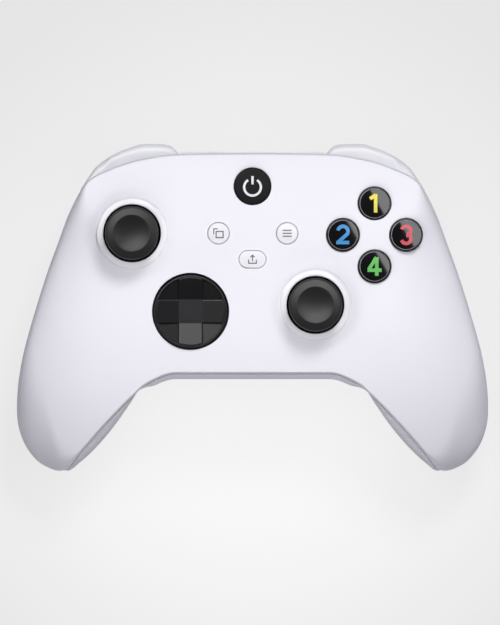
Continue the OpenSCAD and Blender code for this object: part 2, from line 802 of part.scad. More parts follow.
module dpad() {
    r = dpad_d / 2;
    rim = 0.9;
    dish = 1.6;
    cross_rise = 0.5;
    dish_ball = (pow(r - rim, 2) + dish * dish) / (2 * dish);
    color("black") at_dpad() {
        difference() {
            translate([0, 0, dpad_floor]) cylinder(r = r, h = dpad_crown - dpad_floor);
            translate([0, 0, dpad_crown - dish + dish_ball]) sphere(r = dish_ball);
        }
        intersection() {
            translate([0, 0, dpad_floor]) cylinder(r = r - rim / 2, h = dpad_crown + cross_rise - dpad_floor);
            union() {
                translate([-r, -dpad_arm / 2, dpad_floor]) cube([2 * r, dpad_arm, 2 * dpad_crown]);
                translate([-dpad_arm / 2, -r, dpad_floor]) cube([dpad_arm, 2 * r, 2 * dpad_crown]);
            }
        }
        translate([0, 0, -1.5]) cylinder(r = dpad_post_r, h = dpad_floor + 2);
        y_bar(-dpad_ring_out + 0.1, dpad_ring_out - 0.1, dpad_pin_r);
    }
}

// Buttons

// Upper side of a flange of radius r round p, under the lowest wall that it reaches
function flange_top(p, r) =
    min([for (turn = [0:30:330]) let (x = abs(p[0] + r * cos(turn)))
        front_height(asin(x / half_w), p[1] + r * sin(turn), wall)]) - flange_gap;

// Domed round button with a flange that keeps it in the casing
module round_button(p, d, rise, body_low, stem_low) {
    r = d / 2;
    dome = 0.35 * rise;
    ball = (r * r + dome * dome) / (2 * dome);
    crown = face(p[0], p[1]) + rise;
    flange_low = flange_top(p, r + flange) - flange_t;
    translate([p[0], p[1], 0]) {
        rotate_extrude() polygon(concat(
            [[0, min(body_low, flange_low)], [r, min(body_low, flange_low)]],
            [for (i = [0:6]) let (s = r * (1 - i / 6)) [s, crown - ball + sqrt(ball * ball - s * s)]]));
        translate([0, 0, flange_low]) cylinder(r = r + flange, h = flange_t);
        translate([0, 0, stem_low]) cylinder(r = stem_r, h = crown - rise - stem_low);
    }
}

switch_z = board_top + small_travel + stem_gap;

module face_button(turn) {
    p = cluster_spot(turn);
    low = face(p[0], p[1]) - face_stem;
    color("black") round_button(p, face_button_d, face_button_rise, low, low);
}

module small_button(p, d) { round_button(p, d, small_rise, face(p[0], p[1]) - wall, switch_z); }

module top_face_button() { face_button(90); }
module left_face_button() { face_button(180); }
module right_face_button() { face_button(0); }
module bottom_face_button() { face_button(270); }
module view_button() { color("white") small_button(view_at, small_button_d); }
module menu_button() { color("white") small_button(menu_at, small_button_d); }
module guide_button() { color("black") small_button(guide_at, guide_d); }

module share_button() {
    z = face(share_at[0], share_at[1]);
    flange_low = flange_top(share_at, share_l / 2 + flange) - flange_t;
    body_h = z + small_rise - flange_low;
    color("white") translate([share_at[0], share_at[1], 0]) {
        translate([0, 0, flange_low + body_h / 2]) pill(share_l, share_w, body_h);
        translate([0, 0, flange_low + flange_t / 2]) pill(share_l + 2 * flange, share_w + 2 * flange, flange_t);
        translate([0, 0, switch_z]) cylinder(r = stem_r, h = z - switch_z);
    }
}

module pair_button() {
    flange_y = bridge_back - top_y - seam_gap;
    color("white") translate([pair_at, top_y, usb_z]) {
        y_bar(flange_y - flange_t, bridge_out + pair_rise, pair_r);
        y_bar(flange_y - flange_t, flange_y, pair_r + flange);
    }
}

// Shoulders

module bumper() {
    high = upper_seam(asin(bumper_post[0] / half_w)) - seam_gap;
    back_lip = 1;
    knuckle_h = bumper_h - knuckle_low - knuckle_high;
    places = [for (i = [0:bumper_along]) bumper_x0 + (bumper_x1 - bumper_x0) * i / bumper_along];
    outer = [for (x = places) [for (k = [0:bumper_across]) bumper_point(x, k)]];
    inner = [for (row = outer) [for (q = row) [q[0], row[0][1] - back_lip, q[2]]]];
    color("gainsboro") difference() {
        union() {
            sheet(outer, inner);
            translate([bumper_post[0], bumper_post[1], high - bumper_h + knuckle_low]) {
                cylinder(r = knuckle_r, h = knuckle_h);
                translate([-knuckle_r, 0, 0]) cube([2 * knuckle_r, bumper_back - bumper_post[1], knuckle_h]);
            }
        }
        upright(bumper_post, 0, face_z, pin_r + pin_gap);
    }
}
module left_bumper() { mirror([1, 0, 0]) bumper(); }
module right_bumper() { bumper(); }

// Side outline [y, z] drawn out along X to the trigger's width
module trigger_slice() {
    translate([trigger_x0, 0, 0]) rotate([90, 0, 90]) linear_extrude(trigger_w) children();
}

module trigger() {
    r_out = trigger_curve_r + trigger_t;
    far = 2 * r_out;
    arm = [-cos(trigger_half_angle), sin(trigger_half_angle)];
    at_pin = [trigger_x0, trigger_y, trigger_z];
    at_arc = [trigger_x0, trigger_arc_y, trigger_arc_z];
    color("gainsboro") difference() {
        union() {
            // Curved lever
            intersection() {
                difference() {
                    translate(at_arc) x_bar(0, trigger_w, r_out);
                    translate(at_arc) x_bar(-1, trigger_w + 1, trigger_curve_r);
                }
                trigger_slice() translate([trigger_arc_y, trigger_arc_z])
                    polygon([[0, 0], far * arm, far * [arm[0], -arm[1]]]);
            }
            // Web and hub
            trigger_slice() polygon([
                [trigger_y, trigger_z - trigger_hub_r + 0.5],
                [trigger_y + 1.5, trigger_z - 0.1],
                [trigger_arc_y + r_out * arm[0] + 0.4, trigger_z - 0.4],
                [trigger_arc_y - r_out + 0.6, trigger_arc_z]]);
            translate(at_pin) x_bar(0, trigger_w, trigger_hub_r);
        }
        translate(at_pin) x_bar(-1, trigger_w + 1, pin_r + pin_gap);
    }
}
module left_trigger() { mirror([1, 0, 0]) trigger(); }
module right_trigger() { trigger(); }

module trigger_pin() {
    reach = ear_gap + trigger_ear_t;
    color("silver") translate([trigger_x0, trigger_y, trigger_z]) x_bar(-reach, trigger_w + reach, pin_r);
}
module left_trigger_pin() { mirror([1, 0, 0]) trigger_pin(); }
module right_trigger_pin() { trigger_pin(); }

// Motors

module rumble_motor() {
    color("silver") difference() {
        upright(motor_at, frame_top, frame_top + motor_l, motor_d / 2);
        upright(motor_at, frame_top - eps, frame_top + motor_l - 1, motor_shaft_r + pin_gap);
    }
}
module left_rumble_motor() { mirror([1, 0, 0]) rumble_motor(); }
module right_rumble_motor() { rumble_motor(); }

module rumble_weight() {
    top = frame_z - weight_gap;
    color("gray") {
        upright(motor_at, top - weight_t, frame_top + motor_l - 1.2, motor_shaft_r);
        intersection() {
            upright(motor_at, top - weight_t, top, weight_r);
            translate([motor_at[0] - weight_r, motor_at[1] - motor_shaft_r, top - weight_t])
                cube([2 * weight_r, 2 * weight_r, weight_t]);
        }
    }
}
module left_rumble_weight() { mirror([1, 0, 0]) rumble_weight(); }
module right_rumble_weight() { rumble_weight(); }

module at_small_motor() {
    translate([small_motor_x, small_motor_y, frame_z - cradle_h - small_motor_r]) children();
}

small_shaft_r = 0.75;

module trigger_motor() {
    color("silver") at_small_motor() difference() {
        x_bar(0, small_motor_l, small_motor_r);
        x_bar(-eps, small_motor_l - 1, small_shaft_r + pin_gap);
    }
}
module left_trigger_motor() { mirror([1, 0, 0]) trigger_motor(); }
module right_trigger_motor() { trigger_motor(); }

module trigger_weight() {
    r = small_motor_r - 0.3;
    color("gray") at_small_motor() {
        x_bar(-small_weight_t - 0.6, small_motor_l - 1.2, small_shaft_r);
        intersection() {
            x_bar(-small_weight_t - 0.6, -0.6, r);
            translate([-small_weight_t - 0.6, -r, -2 * r]) cube([small_weight_t, 2 * r, 2 * r + small_shaft_r]);
        }
    }
}
module left_trigger_weight() { mirror([1, 0, 0]) trigger_weight(); }
module right_trigger_weight() { trigger_weight(); }

// Sockets

module usb_port() {
    tongue_w = 6.4;
    tongue_t = 0.7;
    color("silver") translate([0, top_y + bridge_out - 0.3 - usb_depth / 2, usb_z]) {
        difference() {
            rotate([90, 0, 0]) pill(usb_w, usb_h, usb_depth);
            translate([0, 1, 0]) rotate([90, 0, 0])
                pill(usb_w - 2 * usb_wall, usb_h - 2 * usb_wall, usb_depth);
        }
        cube([tongue_w, usb_depth - 1, tongue_t], center = true);
    }
}

module headset_jack() {
    front = lower_y - lower_strip + socket_recess;
    color("dimgray") translate([jack_x, front, socket_z]) difference() {
        y_bar(0, jack_l, jack_r);
        y_bar(-eps, jack_l - 1, jack_d / 2);
    }
}

module expansion_port() {
    front = lower_y - lower_strip + socket_recess;
    depth = 9;
    corner = [expansion_x - expansion_w / 2, front, socket_z - expansion_h / 2];
    color("dimgray") translate(corner) difference() {
        cube([expansion_w, depth, expansion_h]);
        translate([expansion_wall, -eps, expansion_wall])
            cube([expansion_w - 2 * expansion_wall, depth - 1, expansion_h - 2 * expansion_wall]);
    }
}

front_shell();
rear_shell();
left_grip_panel();
right_grip_panel();
top_bridge();
battery_door();
mid_frame();
case_screws();
main_board();
button_membrane();
left_stick_ring();
left_stick_base();
left_stick_yoke();
left_stick_rocker();
left_stick_shaft();
left_stick_cap();
right_stick_ring();
right_stick_base();
right_stick_yoke();
right_stick_rocker();
right_stick_shaft();
right_stick_cap();
dpad_base();
dpad_plate();
dpad();
top_face_button();
left_face_button();
right_face_button();
bottom_face_button();
view_button();
menu_button();
share_button();
guide_button();
pair_button();
left_bumper();
right_bumper();
left_trigger();
right_trigger();
left_trigger_pin();
right_trigger_pin();
left_rumble_motor();
right_rumble_motor();
left_rumble_weight();
right_rumble_weight();
left_trigger_motor();
right_trigger_motor();
left_trigger_weight();
right_trigger_weight();
battery_cells();
battery_contacts();
usb_port();
headset_jack();
expansion_port();
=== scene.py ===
import json

import bmesh
import bpy
import numpy as np
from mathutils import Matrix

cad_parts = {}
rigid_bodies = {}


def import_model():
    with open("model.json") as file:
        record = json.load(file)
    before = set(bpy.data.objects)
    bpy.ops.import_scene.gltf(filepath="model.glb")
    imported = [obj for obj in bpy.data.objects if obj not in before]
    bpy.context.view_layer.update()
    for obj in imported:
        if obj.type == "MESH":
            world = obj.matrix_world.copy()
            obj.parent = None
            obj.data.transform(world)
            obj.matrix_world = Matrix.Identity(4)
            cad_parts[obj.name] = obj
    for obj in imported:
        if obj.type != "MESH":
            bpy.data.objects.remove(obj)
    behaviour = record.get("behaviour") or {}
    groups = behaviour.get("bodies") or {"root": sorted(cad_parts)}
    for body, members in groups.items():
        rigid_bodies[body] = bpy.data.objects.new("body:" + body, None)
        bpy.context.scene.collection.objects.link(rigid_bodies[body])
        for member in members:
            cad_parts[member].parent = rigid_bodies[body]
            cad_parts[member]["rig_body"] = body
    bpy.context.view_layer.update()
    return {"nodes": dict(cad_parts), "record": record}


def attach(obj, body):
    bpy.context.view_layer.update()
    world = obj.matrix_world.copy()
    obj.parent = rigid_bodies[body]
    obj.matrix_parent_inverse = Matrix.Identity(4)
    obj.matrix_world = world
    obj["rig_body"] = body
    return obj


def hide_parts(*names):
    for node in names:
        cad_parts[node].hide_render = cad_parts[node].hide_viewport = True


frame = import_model()
scene = bpy.context.scene
scene.view_settings.view_transform = "Standard"
mm = 0.001
sewReach = 0.0005 * mm
print("frame loaded:", len(frame["nodes"]), "nodes")


# Node helper: a socket whose arithmetic adds Math nodes
class Wire:
    def __init__(self, tree, socket=None):
        self.tree = tree
        self.socket = socket

    # any node, with its settings first and then the values or links of its sockets
    def node(self, kind, settings, inputs, output=0):
        made = self.tree.nodes.new(kind)
        for key, value in settings.items():
            setattr(made, key, value)
        for key, value in inputs.items():
            if isinstance(value, Wire):
                self.tree.links.new(value.socket, made.inputs[key])
            else:
                made.inputs[key].default_value = value
        return Wire(self.tree, made.outputs[output])

    def math(self, operation, first, second=0.0):
        return self.node("ShaderNodeMath", {"operation": operation}, {0: first, 1: second})

    def __add__(self, other):
        return self.math("ADD", self, other)

    def __radd__(self, other):
        return self.math("ADD", other, self)

    def __sub__(self, other):
        return self.math("SUBTRACT", self, other)

    def __rsub__(self, other):
        return self.math("SUBTRACT", other, self)

    def __mul__(self, other):
        return self.math("MULTIPLY", self, other)

    def __gt__(self, other):
        return self.math("GREATER_THAN", self, other)

    def __lt__(self, other):
        return self.math("LESS_THAN", self, other)

    # colour between two others
    def mix(self, first, second):
        return self.node("ShaderNodeMix", {"data_type": "RGBA"}, {0: self, 6: first, 7: second}, 2)

    # smooth step of this value from 0 at low to 1 at high
    def step(self, low, high):
        return self.node("ShaderNodeMapRange", {"interpolation_type": "SMOOTHSTEP"},
                         {0: self, 1: low, 2: high})


def rgb(red, green, blue):
    return (red, green, blue, 1.0)


def startMaterial(name, fixed):
    material = bpy.data.materials.new(name)
    material.use_nodes = True
    shader = material.node_tree.nodes["Principled BSDF"]
    for key, value in fixed.items():
        shader.inputs[key].default_value = value
    return material, Wire(material.node_tree), shader


def feed(shader, socket, wire):
    wire.tree.links.new(wire.socket, shader.inputs[socket])


# Place on the object, for textures
def place(wire):
    return wire.node("ShaderNodeTexCoord", {}, {}, "Object")


def noise(wire, where, scale, detail=2.0):
    return wire.node("ShaderNodeTexNoise", {}, {"Vector": where, "Scale": scale, "Detail": detail})


# Surface direction tilted by a height, with the depth in millimetres
def bump(wire, strength, depth, height):
    return wire.node("ShaderNodeBump", {}, {"Strength": strength, "Distance": depth * mm, "Height": height})


# Moulded plastic: two close tones in soft clouds, a fine spark-eroded grain in the gloss and the bump
def mouldedPlastic(name, look):
    material, wire, shader = startMaterial(name, look["fixed"])
    where = place(wire)
    cloud = noise(wire, where, look["cloudScale"]).step(0.35, 0.65)
    grain = noise(wire, where, look["grainScale"], 3.0)
    feed(shader, "Base Color", cloud.mix(look["tone"], look["otherTone"]))
    feed(shader, "Roughness", look["roughness"] + (grain - 0.5) * look["roughnessSpread"])
    feed(shader, "Normal", bump(wire, look["grainStrength"], look["grainDepth"], grain))
    return material


# Grip texture: rows of small raised dots over the moulded grain, with painted shade darkening the valleys
# between the dots
def dottedPlastic(name, look):
    material, wire, shader = startMaterial(name, look["fixed"])
    where = place(wire)
    cell = wire.node("ShaderNodeTexVoronoi", {}, {"Vector": where, "Scale": look["dotScale"],
                                                   "Randomness": look["dotScatter"]})
    dot = 1 - cell.step(look["dotIn"], look["dotOut"])
    grain = noise(wire, where, look["grainScale"], 3.0)
    feed(shader, "Base Color", dot.mix(look["valleyTone"], look["tone"]))
    feed(shader, "Roughness", look["roughness"] - dot * look["dotGloss"] + grain * look["grainGloss"])
    height = dot + grain * look["grainShare"]
    feed(shader, "Normal", bump(wire, look["dotStrength"], look["dotDepth"], height))
    return material


# Sheet or turned metal: streaks drawn out along one axis
def streakedMetal(name, look):
    material, wire, shader = startMaterial(name, look["fixed"])
    stretched = wire.node("ShaderNodeMapping", {}, {"Vector": place(wire), "Scale": look["stretch"]})
    streak = noise(wire, stretched, look["streakScale"], 4.0)
    feed(shader, "Base Color", streak.step(0.3, 0.7).mix(look["tone"], look["otherTone"]))
    feed(shader, "Roughness", look["roughness"] + (streak - 0.5) * look["roughnessSpread"])
    feed(shader, "Normal", bump(wire, look["streakStrength"], look["streakDepth"], streak))
    return material


# Circuit board: solder mask with square cells of copper pour and scattered gold pads
def solderMask(name, look):
    material, wire, shader = startMaterial(name, look["fixed"])
    where = place(wire)
    pour = wire.node("ShaderNodeTexVoronoi", {"distance": "CHEBYCHEV", "feature": "DISTANCE_TO_EDGE"},
                     {"Vector": where, "Scale": look["pourScale"]}, 0)
    trace = 1 - pour.step(look["traceIn"], look["traceOut"])
    nearest = wire.node("ShaderNodeTexVoronoi", {}, {"Vector": where, "Scale": look["padScale"]})
    pad = nearest < look["padSize"]
    feed(shader, "Base Color", pad.mix(trace.mix(look["tone"], look["traceTone"]), look["padTone"]))
    feed(shader, "Metallic", pad * look["padMetal"])
    feed(shader, "Roughness", look["roughness"] + trace * look["traceRough"])
    feed(shader, "Normal", bump(wire, look["traceStrength"], look["traceDepth"], trace + pad))
    return material


# Battery sleeve: printed film with a band of the second tone at one end
def printedSleeve(name, look):
    material, wire, shader = startMaterial(name, look["fixed"])
    where = place(wire)
    along = wire.node("ShaderNodeSeparateXYZ", {}, {"Vector": where}, 0)
    speck = noise(wire, where, look["speckScale"])
    band = (along + speck * (look["bandRagged"] * mm)) > look["bandFrom"] * mm
    feed(shader, "Base Color", band.mix(look["tone"], look["bandTone"]))
    feed(shader, "Roughness", look["roughness"] + speck * look["speckRough"])
    return material


shellLook = {
    "fixed": {"Specular IOR Level": 0.35},
    "tone": rgb(0.862, 0.858, 0.92), "otherTone": rgb(0.849, 0.845, 0.907), "cloudScale": 18.0,
    "roughness": 0.5, "roughnessSpread": 0.12,
    "grainScale": 2600.0, "grainStrength": 0.10, "grainDepth": 0.03,
}
gripLook = {
    "fixed": {"Specular IOR Level": 0.3},
    "tone": rgb(0.9, 0.9, 0.95), "valleyTone": rgb(0.8, 0.8, 0.85),
    "dotScale": 1050.0, "dotScatter": 0.25, "dotIn": 0.22, "dotOut": 0.42,
    "dotStrength": 0.55, "dotDepth": 0.14, "dotGloss": 0.08,
    "roughness": 0.58, "grainScale": 3000.0, "grainGloss": 0.06, "grainShare": 0.15,
}
trimLook = dict(shellLook, fixed={"Specular IOR Level": 0.45}, tone=rgb(0.86, 0.86, 0.9),
                otherTone=rgb(0.85, 0.85, 0.89), roughness=0.3, grainStrength=0.05)
# Stick rings: a glossier copy of the white plastic whose lighter tone is painted light, making the ring
# brighter than the shaded face round it
ringPaintedLightLook = dict(shellLook, fixed={"Specular IOR Level": 0.5}, tone=rgb(0.93, 0.932, 0.965),
                otherTone=rgb(0.92, 0.922, 0.955), roughness=0.25, grainStrength=0.03)
keyLook = {
    "fixed": {"Specular IOR Level": 0.3, "Coat Weight": 0.15, "Coat Roughness": 0.04},
    "tone": rgb(0.005, 0.005, 0.006), "otherTone": rgb(0.007, 0.007, 0.008), "cloudScale": 60.0,
    "roughness": 0.1, "roughnessSpread": 0.05,
    "grainScale": 900.0, "grainStrength": 0.02, "grainDepth": 0.02,
}
crossLook = dict(keyLook, fixed={"Specular IOR Level": 0.5}, roughness=0.3, roughnessSpread=0.1,
                 grainScale=1800.0, grainStrength=0.08)
# Flat middle of the pad: a lighter copy of the pad black, a painted sheen standing in for the light its level
# top reflects
middleSheenLook = dict(crossLook, tone=rgb(0.02, 0.02, 0.022), otherTone=rgb(0.017, 0.017, 0.019))
guideLook = dict(keyLook, fixed={"Specular IOR Level": 0.15}, tone=rgb(0.007, 0.007, 0.008),
                 otherTone=rgb(0.009, 0.009, 0.01), roughness=0.5)
stickLook = {
    "fixed": {"Specular IOR Level": 0.5},
    "tone": rgb(0.009, 0.009, 0.01), "otherTone": rgb(0.007, 0.007, 0.008), "cloudScale": 90.0,
    "roughness": 0.45, "roughnessSpread": 0.15,
    "grainScale": 2200.0, "grainStrength": 0.25, "grainDepth": 0.05,
}
chassisLook = dict(stickLook, fixed={"Specular IOR Level": 0.4}, tone=rgb(0.035, 0.035, 0.037),
                   otherTone=rgb(0.028, 0.028, 0.03), roughness=0.5)
siliconeLook = dict(stickLook, fixed={"Specular IOR Level": 0.4}, tone=rgb(0.42, 0.45, 0.5),
                    otherTone=rgb(0.38, 0.41, 0.46), roughness=0.6)
inkLook = {
    "fixed": {"Specular IOR Level": 0.4},
    "cloudScale": 200.0, "roughness": 0.35, "roughnessSpread": 0.1,
    "grainScale": 2500.0, "grainStrength": 0.05, "grainDepth": 0.02,
}
boardLook = {
    "fixed": {"Specular IOR Level": 0.5},
    "tone": rgb(0.012, 0.09, 0.035), "traceTone": rgb(0.02, 0.14, 0.05), "padTone": rgb(0.75, 0.55, 0.2),
    "pourScale": 260.0, "padScale": 420.0, "padSize": 0.12, "padMetal": 0.9, "roughness": 0.35,
    "traceIn": 0.02, "traceOut": 0.05, "traceRough": 0.1, "traceStrength": 0.3, "traceDepth": 0.05,
}
steelLook = {
    "fixed": {"Metallic": 1.0},
    "tone": rgb(0.56, 0.56, 0.57), "otherTone": rgb(0.48, 0.48, 0.49),
    "stretch": (1.0, 12.0, 1.0), "streakScale": 300.0, "roughness": 0.32, "roughnessSpread": 0.15,
    "streakStrength": 0.15, "streakDepth": 0.02,
}
brassLook = dict(steelLook, tone=rgb(0.7, 0.52, 0.25), otherTone=rgb(0.6, 0.43, 0.2))
motorLook = dict(steelLook, tone=rgb(0.5, 0.5, 0.52), otherTone=rgb(0.42, 0.42, 0.44),
                 stretch=(1.0, 1.0, 14.0))
sleeveLook = {
    "fixed": {"Specular IOR Level": 0.5, "Coat Weight": 0.3, "Coat Roughness": 0.1},
    "tone": rgb(0.03, 0.035, 0.05), "bandTone": rgb(0.55, 0.3, 0.12), "bandFrom": 14.0,
    "bandRagged": 0.2, "speckScale": 900.0, "speckRough": 0.1, "roughness": 0.3,
}


# Ink of one tone with slightly darker clouds
def ink(name, tone):
    dim = rgb(tone[0] * 0.9, tone[1] * 0.9, tone[2] * 0.9)
    return mouldedPlastic(name, dict(inkLook, tone=tone, otherTone=dim))


finish = {
    "shell_white": mouldedPlastic("shellWhite", shellLook),
    "grip_white": dottedPlastic("gripWhite", gripLook),
    "trim_white": mouldedPlastic("trimWhite", trimLook),
    "key_black": mouldedPlastic("keyBlack", keyLook),
    "guide_black": mouldedPlastic("guideBlack", guideLook),
    "stick_black": mouldedPlastic("stickBlack", stickLook),
    "chassis_black": mouldedPlastic("chassisBlack", chassisLook),
    "board_green": solderMask("boardGreen", boardLook),
    "silicone_grey": mouldedPlastic("siliconeGrey", siliconeLook),
    "steel": streakedMetal("steel", steelLook),
    "motor_case": streakedMetal("motorCase", motorLook),
    "cell_case": printedSleeve("cellSleeve", sleeveLook),
    "contact_brass": streakedMetal("contactBrass", brassLook),
}
# Lighter white for the stick rings: painted light
ringWhite = mouldedPlastic("ringWhite", ringPaintedLightLook)
crossBlack = mouldedPlastic("crossBlack", crossLook)
# Lighter black for the pad's flat middle: painted sheen
middleBlack = mouldedPlastic("middleBlack", middleSheenLook)
inkGrey = ink("inkGrey", rgb(0.16, 0.16, 0.17))
inkWhite = ink("inkWhite", rgb(0.86, 0.86, 0.88))
inkYellow = ink("inkYellow", rgb(0.86, 0.76, 0.05))
inkBlue = ink("inkBlue", rgb(0.03, 0.30, 0.68))
inkRed = ink("inkRed", rgb(0.66, 0.06, 0.09))
inkGreen = ink("inkGreen", rgb(0.11, 0.52, 0.09))
# Grey for the thin bead round the face buttons' domes: a painted highlight
edgeGrey = ink("edgeGrey", rgb(0.4, 0.4, 0.42))
print("materials made:", len(bpy.data.materials))


# Quads of a grid of rows by columns, joined round where asked
def gridQuads(rows, columns, closeRows, closeColumns):
    i, j = np.meshgrid(np.arange(rows if closeRows else rows - 1),
                       np.arange(columns if closeColumns else columns - 1), indexing="ij")
    down = (i + 1) % rows
    right = (j + 1) % columns
    corners = [i * columns + j, down * columns + j, down * columns + right, i * columns + right]
    return np.stack(corners, -1).reshape(-1, 4)


# Patches are (grid, closed round the rows, closed round the columns): an open sheet, a tube or a full ring
def sheet(grid):
    return (grid, False, False)


def tube(grid):
    return (grid, False, True)


def fullRing(grid):
    return (grid, True, True)


# Mesh of patches, with the edges that meet sewn together
def sewnMesh(name, patches):
    points = []
    quads = []
    count = 0
    for grid, closeRows, closeColumns in patches:
        rows, columns = grid.shape[:2]
        quads.append(gridQuads(rows, columns, closeRows, closeColumns) + count)
        points.append(grid.reshape(-1, 3))
        count += rows * columns
    mesh = bpy.data.meshes.new(name)
    mesh.from_pydata((np.vstack(points) * mm).tolist(), [], np.vstack(quads).tolist())
    tidyMesh(mesh)
    return mesh


# Points that meet are joined, and all faces turned outwards
def tidyMesh(mesh):
    work = bmesh.new()
    work.from_mesh(mesh)
    bmesh.ops.remove_doubles(work, verts=work.verts, dist=sewReach)
    bmesh.ops.recalc_face_normals(work, faces=work.faces)
    work.to_mesh(mesh)
    work.free()


# Piece on a body, in its slot's material unless another is given; edges over the sharp angle stay crisp
def addPiece(name, mesh, body, slot, replaced=(), material=None, sharp=38.0):
    mesh.shade_smooth()
    mesh.set_sharp_from_angle(angle=np.radians(sharp))
    mesh.materials.clear()
    mesh.materials.append(material or finish[slot])
    piece = bpy.data.objects.new(name, mesh)
    scene.collection.objects.link(piece)
    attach(piece, body)
    if replaced:
        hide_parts(*replaced)
    return piece


def sewnPiece(name, patches, body, slot, replaced=(), material=None, sharp=38.0):
    return addPiece(name, sewnMesh(name, patches), body, slot, replaced, material, sharp)


# The mesh with the cutters taken out of it
def cutMesh(mesh, cutters):
    whole = bpy.data.objects.new("whole", mesh)
    scene.collection.objects.link(whole)
    tools = []
    for cutter in cutters:
        tool = bpy.data.objects.new("tool", cutter)
        scene.collection.objects.link(tool)
        step = whole.modifiers.new("cut", "BOOLEAN")
        step.operation = "DIFFERENCE"
        step.solver = "MANIFOLD"
        step.object = tool
        tools.append(tool)
    ready = whole.evaluated_get(bpy.context.evaluated_depsgraph_get())
    result = bpy.data.meshes.new_from_object(ready)
    for extra in [whole] + tools:
        bpy.data.objects.remove(extra)
    return result


# Thin closed solid between an outer and an inner grid
def sheetPatches(outer, inner):
    rims = []
    for end in (0, -1):
        rims.append(sheet(np.stack([outer[end], inner[end]])))
        rims.append(sheet(np.stack([outer[:, end], inner[:, end]])))
    return [sheet(outer), sheet(inner)] + rims


# Profile of (radius, height) turned round the upright axis through a point
def revolve(profile, centre, segments):
    profile = np.array(profile, float)
    turn = np.linspace(0.0, 2 * np.pi, segments, endpoint=False)
    x = centre[0] + profile[:, :1] * np.cos(turn)
    y = centre[1] + profile[:, :1] * np.sin(turn)
    z = np.broadcast_to(profile[:, 1:2], x.shape)
    return np.stack([x, y, z], -1)


# Points on a circle of the profile plane, from one angle to another in degrees
def arc(centre, radius, start, end, count):
    t = np.radians(np.linspace(start, end, count))
    return np.stack([centre[0] + radius * np.cos(t), centre[1] + radius * np.sin(t)], -1)


def ease(t):
    u = np.clip(t, 0.0, 1.0)
    return u * u * (3 - 2 * u)


# Monotone cubic through the points (place, value), level where it starts on the centre line
def smoothCurve(points, where):
    knots = np.array(points, float)
    run = np.diff(knots[:, 1]) / np.diff(knots[:, 0])
    both = run[:-1] * run[1:]
    total = np.where(both > 0, run[:-1] + run[1:], 1.0)
    inner = np.where(both > 0, 2 * both / total, 0.0)
    first = 0.0 if knots[0, 0] == 0 else run[0]
    slope = np.concatenate([[first], inner, run[-1:]])
    k = np.clip(np.searchsorted(knots[:, 0], where, side="right") - 1, 0, len(knots) - 2)
    span = knots[k + 1, 0] - knots[k, 0]
    t = (where - knots[k, 0]) / span
    a = knots[k, 1]
    b = knots[k + 1, 1]
    rise = 3 * (b - a) - span * (2 * slope[k] + slope[k + 1])
    bend = 2 * (a - b) + span * (slope[k] + slope[k + 1])
    return a + t * (span * slope[k] + t * (rise + t * bend))


# The casing, in millimetres
casing = {
    "halfWidth": 76.5, "faceHeight": 48.0, "wall": 2.0, "seamGap": 0.3,
    "frontDepth": 11.0, "lowerDepth": 13.0, "droop": 17.0, "droopPower": 2.2, "sideFall": 3.0,
    "topFall": 5.0, "fallFrom": 20.0, "topY": 50.1, "tipY": -53.2, "endAngle": 88.6,
    "frontRoll": 0.8, "sideRoll": 35.0, "tipRoll": 25.0, "edgePower": 4.0, "gripPower": 3.0, "leanSpan": 4.0,
    "sideFrom": 42.0, "sideRun": 32.0, "tipFrom": 56.0, "tipRun": 14.0, "leastRoll": 0.3, "sideLean": 0.94,
    "backRoll": 10.0, "backGripRoll": 6.0, "groove": 0.5, "grooveWide": 0.3,
    "strip": 1.9, "gripBulge": 4.2, "band": 6.0,
    "topEdge": [(0, 50.1), (24, 49.8), (36, 48.2), (47.5, 44.4), (53.3, 41.2), (57.4, 34.9), (63.6, 19.4),
                (71.3, -3.9), (75.2, -19.4), (76.5, -33)],
    "lowerEdge": [(0, -21.2), (25, -21.2), (33.7, -24.3), (39.6, -29.4), (46.3, -36.2), (56.2, -47.4),
                  (60.3, -52.2), (62.5, -52.97), (68, -51.1), (72.6, -46.6), (75.9, -38.8), (76.5, -33)],
    "rearTopEdge": [(0, 50.1), (21.5, 50.1), (24.5, 36), (46, 36), (54, 35.7), (57.4, 33.9), (63.6, 19.4),
                    (71.3, -3.9), (75.2, -19.4), (76.5, -33)],
    "collarRise": 1.25, "collarRadius": 11.0, "collarWidth": 2.5,
    "panelFrom": 36.5, "sideStart": 45.0, "bandFade": 55.0, "columns": 281, "rows": 121,
}
leftStick = (-38.9, 24.1)
rightStick = (20.3, 1.0)
padSpot = (-20.0, -1.1)
clusterSpot = (39.4, 23.6)
clusterReach = 10.2
viewSpot = (-11.0, 24.1)
menuSpot = (11.2, 24.1)
shareSpot = (0.0, 15.7)
guideSpot = (0.0, 39.3)


# Sweep angle of a place along X, 0 degrees on the centre line and 90 at the widest place, and the way back
def sweepAngle(x):
    return np.degrees(np.arcsin(x / casing["halfWidth"]))


def sweepPlace(s):
    return casing["halfWidth"] * np.sin(np.radians(s))


def swept(points):
    return [(sweepAngle(x), y) for x, y in points]


topSweep = swept(casing["topEdge"])
lowerSweep = swept(casing["lowerEdge"])
rearSweep = swept(casing["rearTopEdge"])


# Share of a step along the outline that runs along X, from the places that many degrees to both sides
def lean(sweep, s, span=0.2):
    dx = sweepPlace(s + span) - sweepPlace(s - span)
    dy = smoothCurve(sweep, s + span) - smoothCurve(sweep, s - span)
    return np.abs(dx) / np.hypot(dx, dy)


# Rounded edge: 0 at the edge, 1 at distance r and beyond; a quarter-round at power 2, squarer above
def roll(d, r, power=2.0):
    u = np.clip(d / r, 0.0, 1.0)
    return (1 - (1 - u) ** power) ** (1 / power)


# Face height: level in the middle, falling with the square of x and of y at the top, drooping along the grips
def faceHeight(x, y):
    upward = np.maximum(0, (y - casing["fallFrom"]) / (casing["topY"] - casing["fallFrom"]))
    along = np.maximum(0, y / casing["tipY"])
    z = casing["faceHeight"] - casing["sideFall"] * (x / casing["halfWidth"]) ** 2
    return z - casing["topFall"] * upward ** 2 - casing["droop"] * along ** casing["droopPower"]


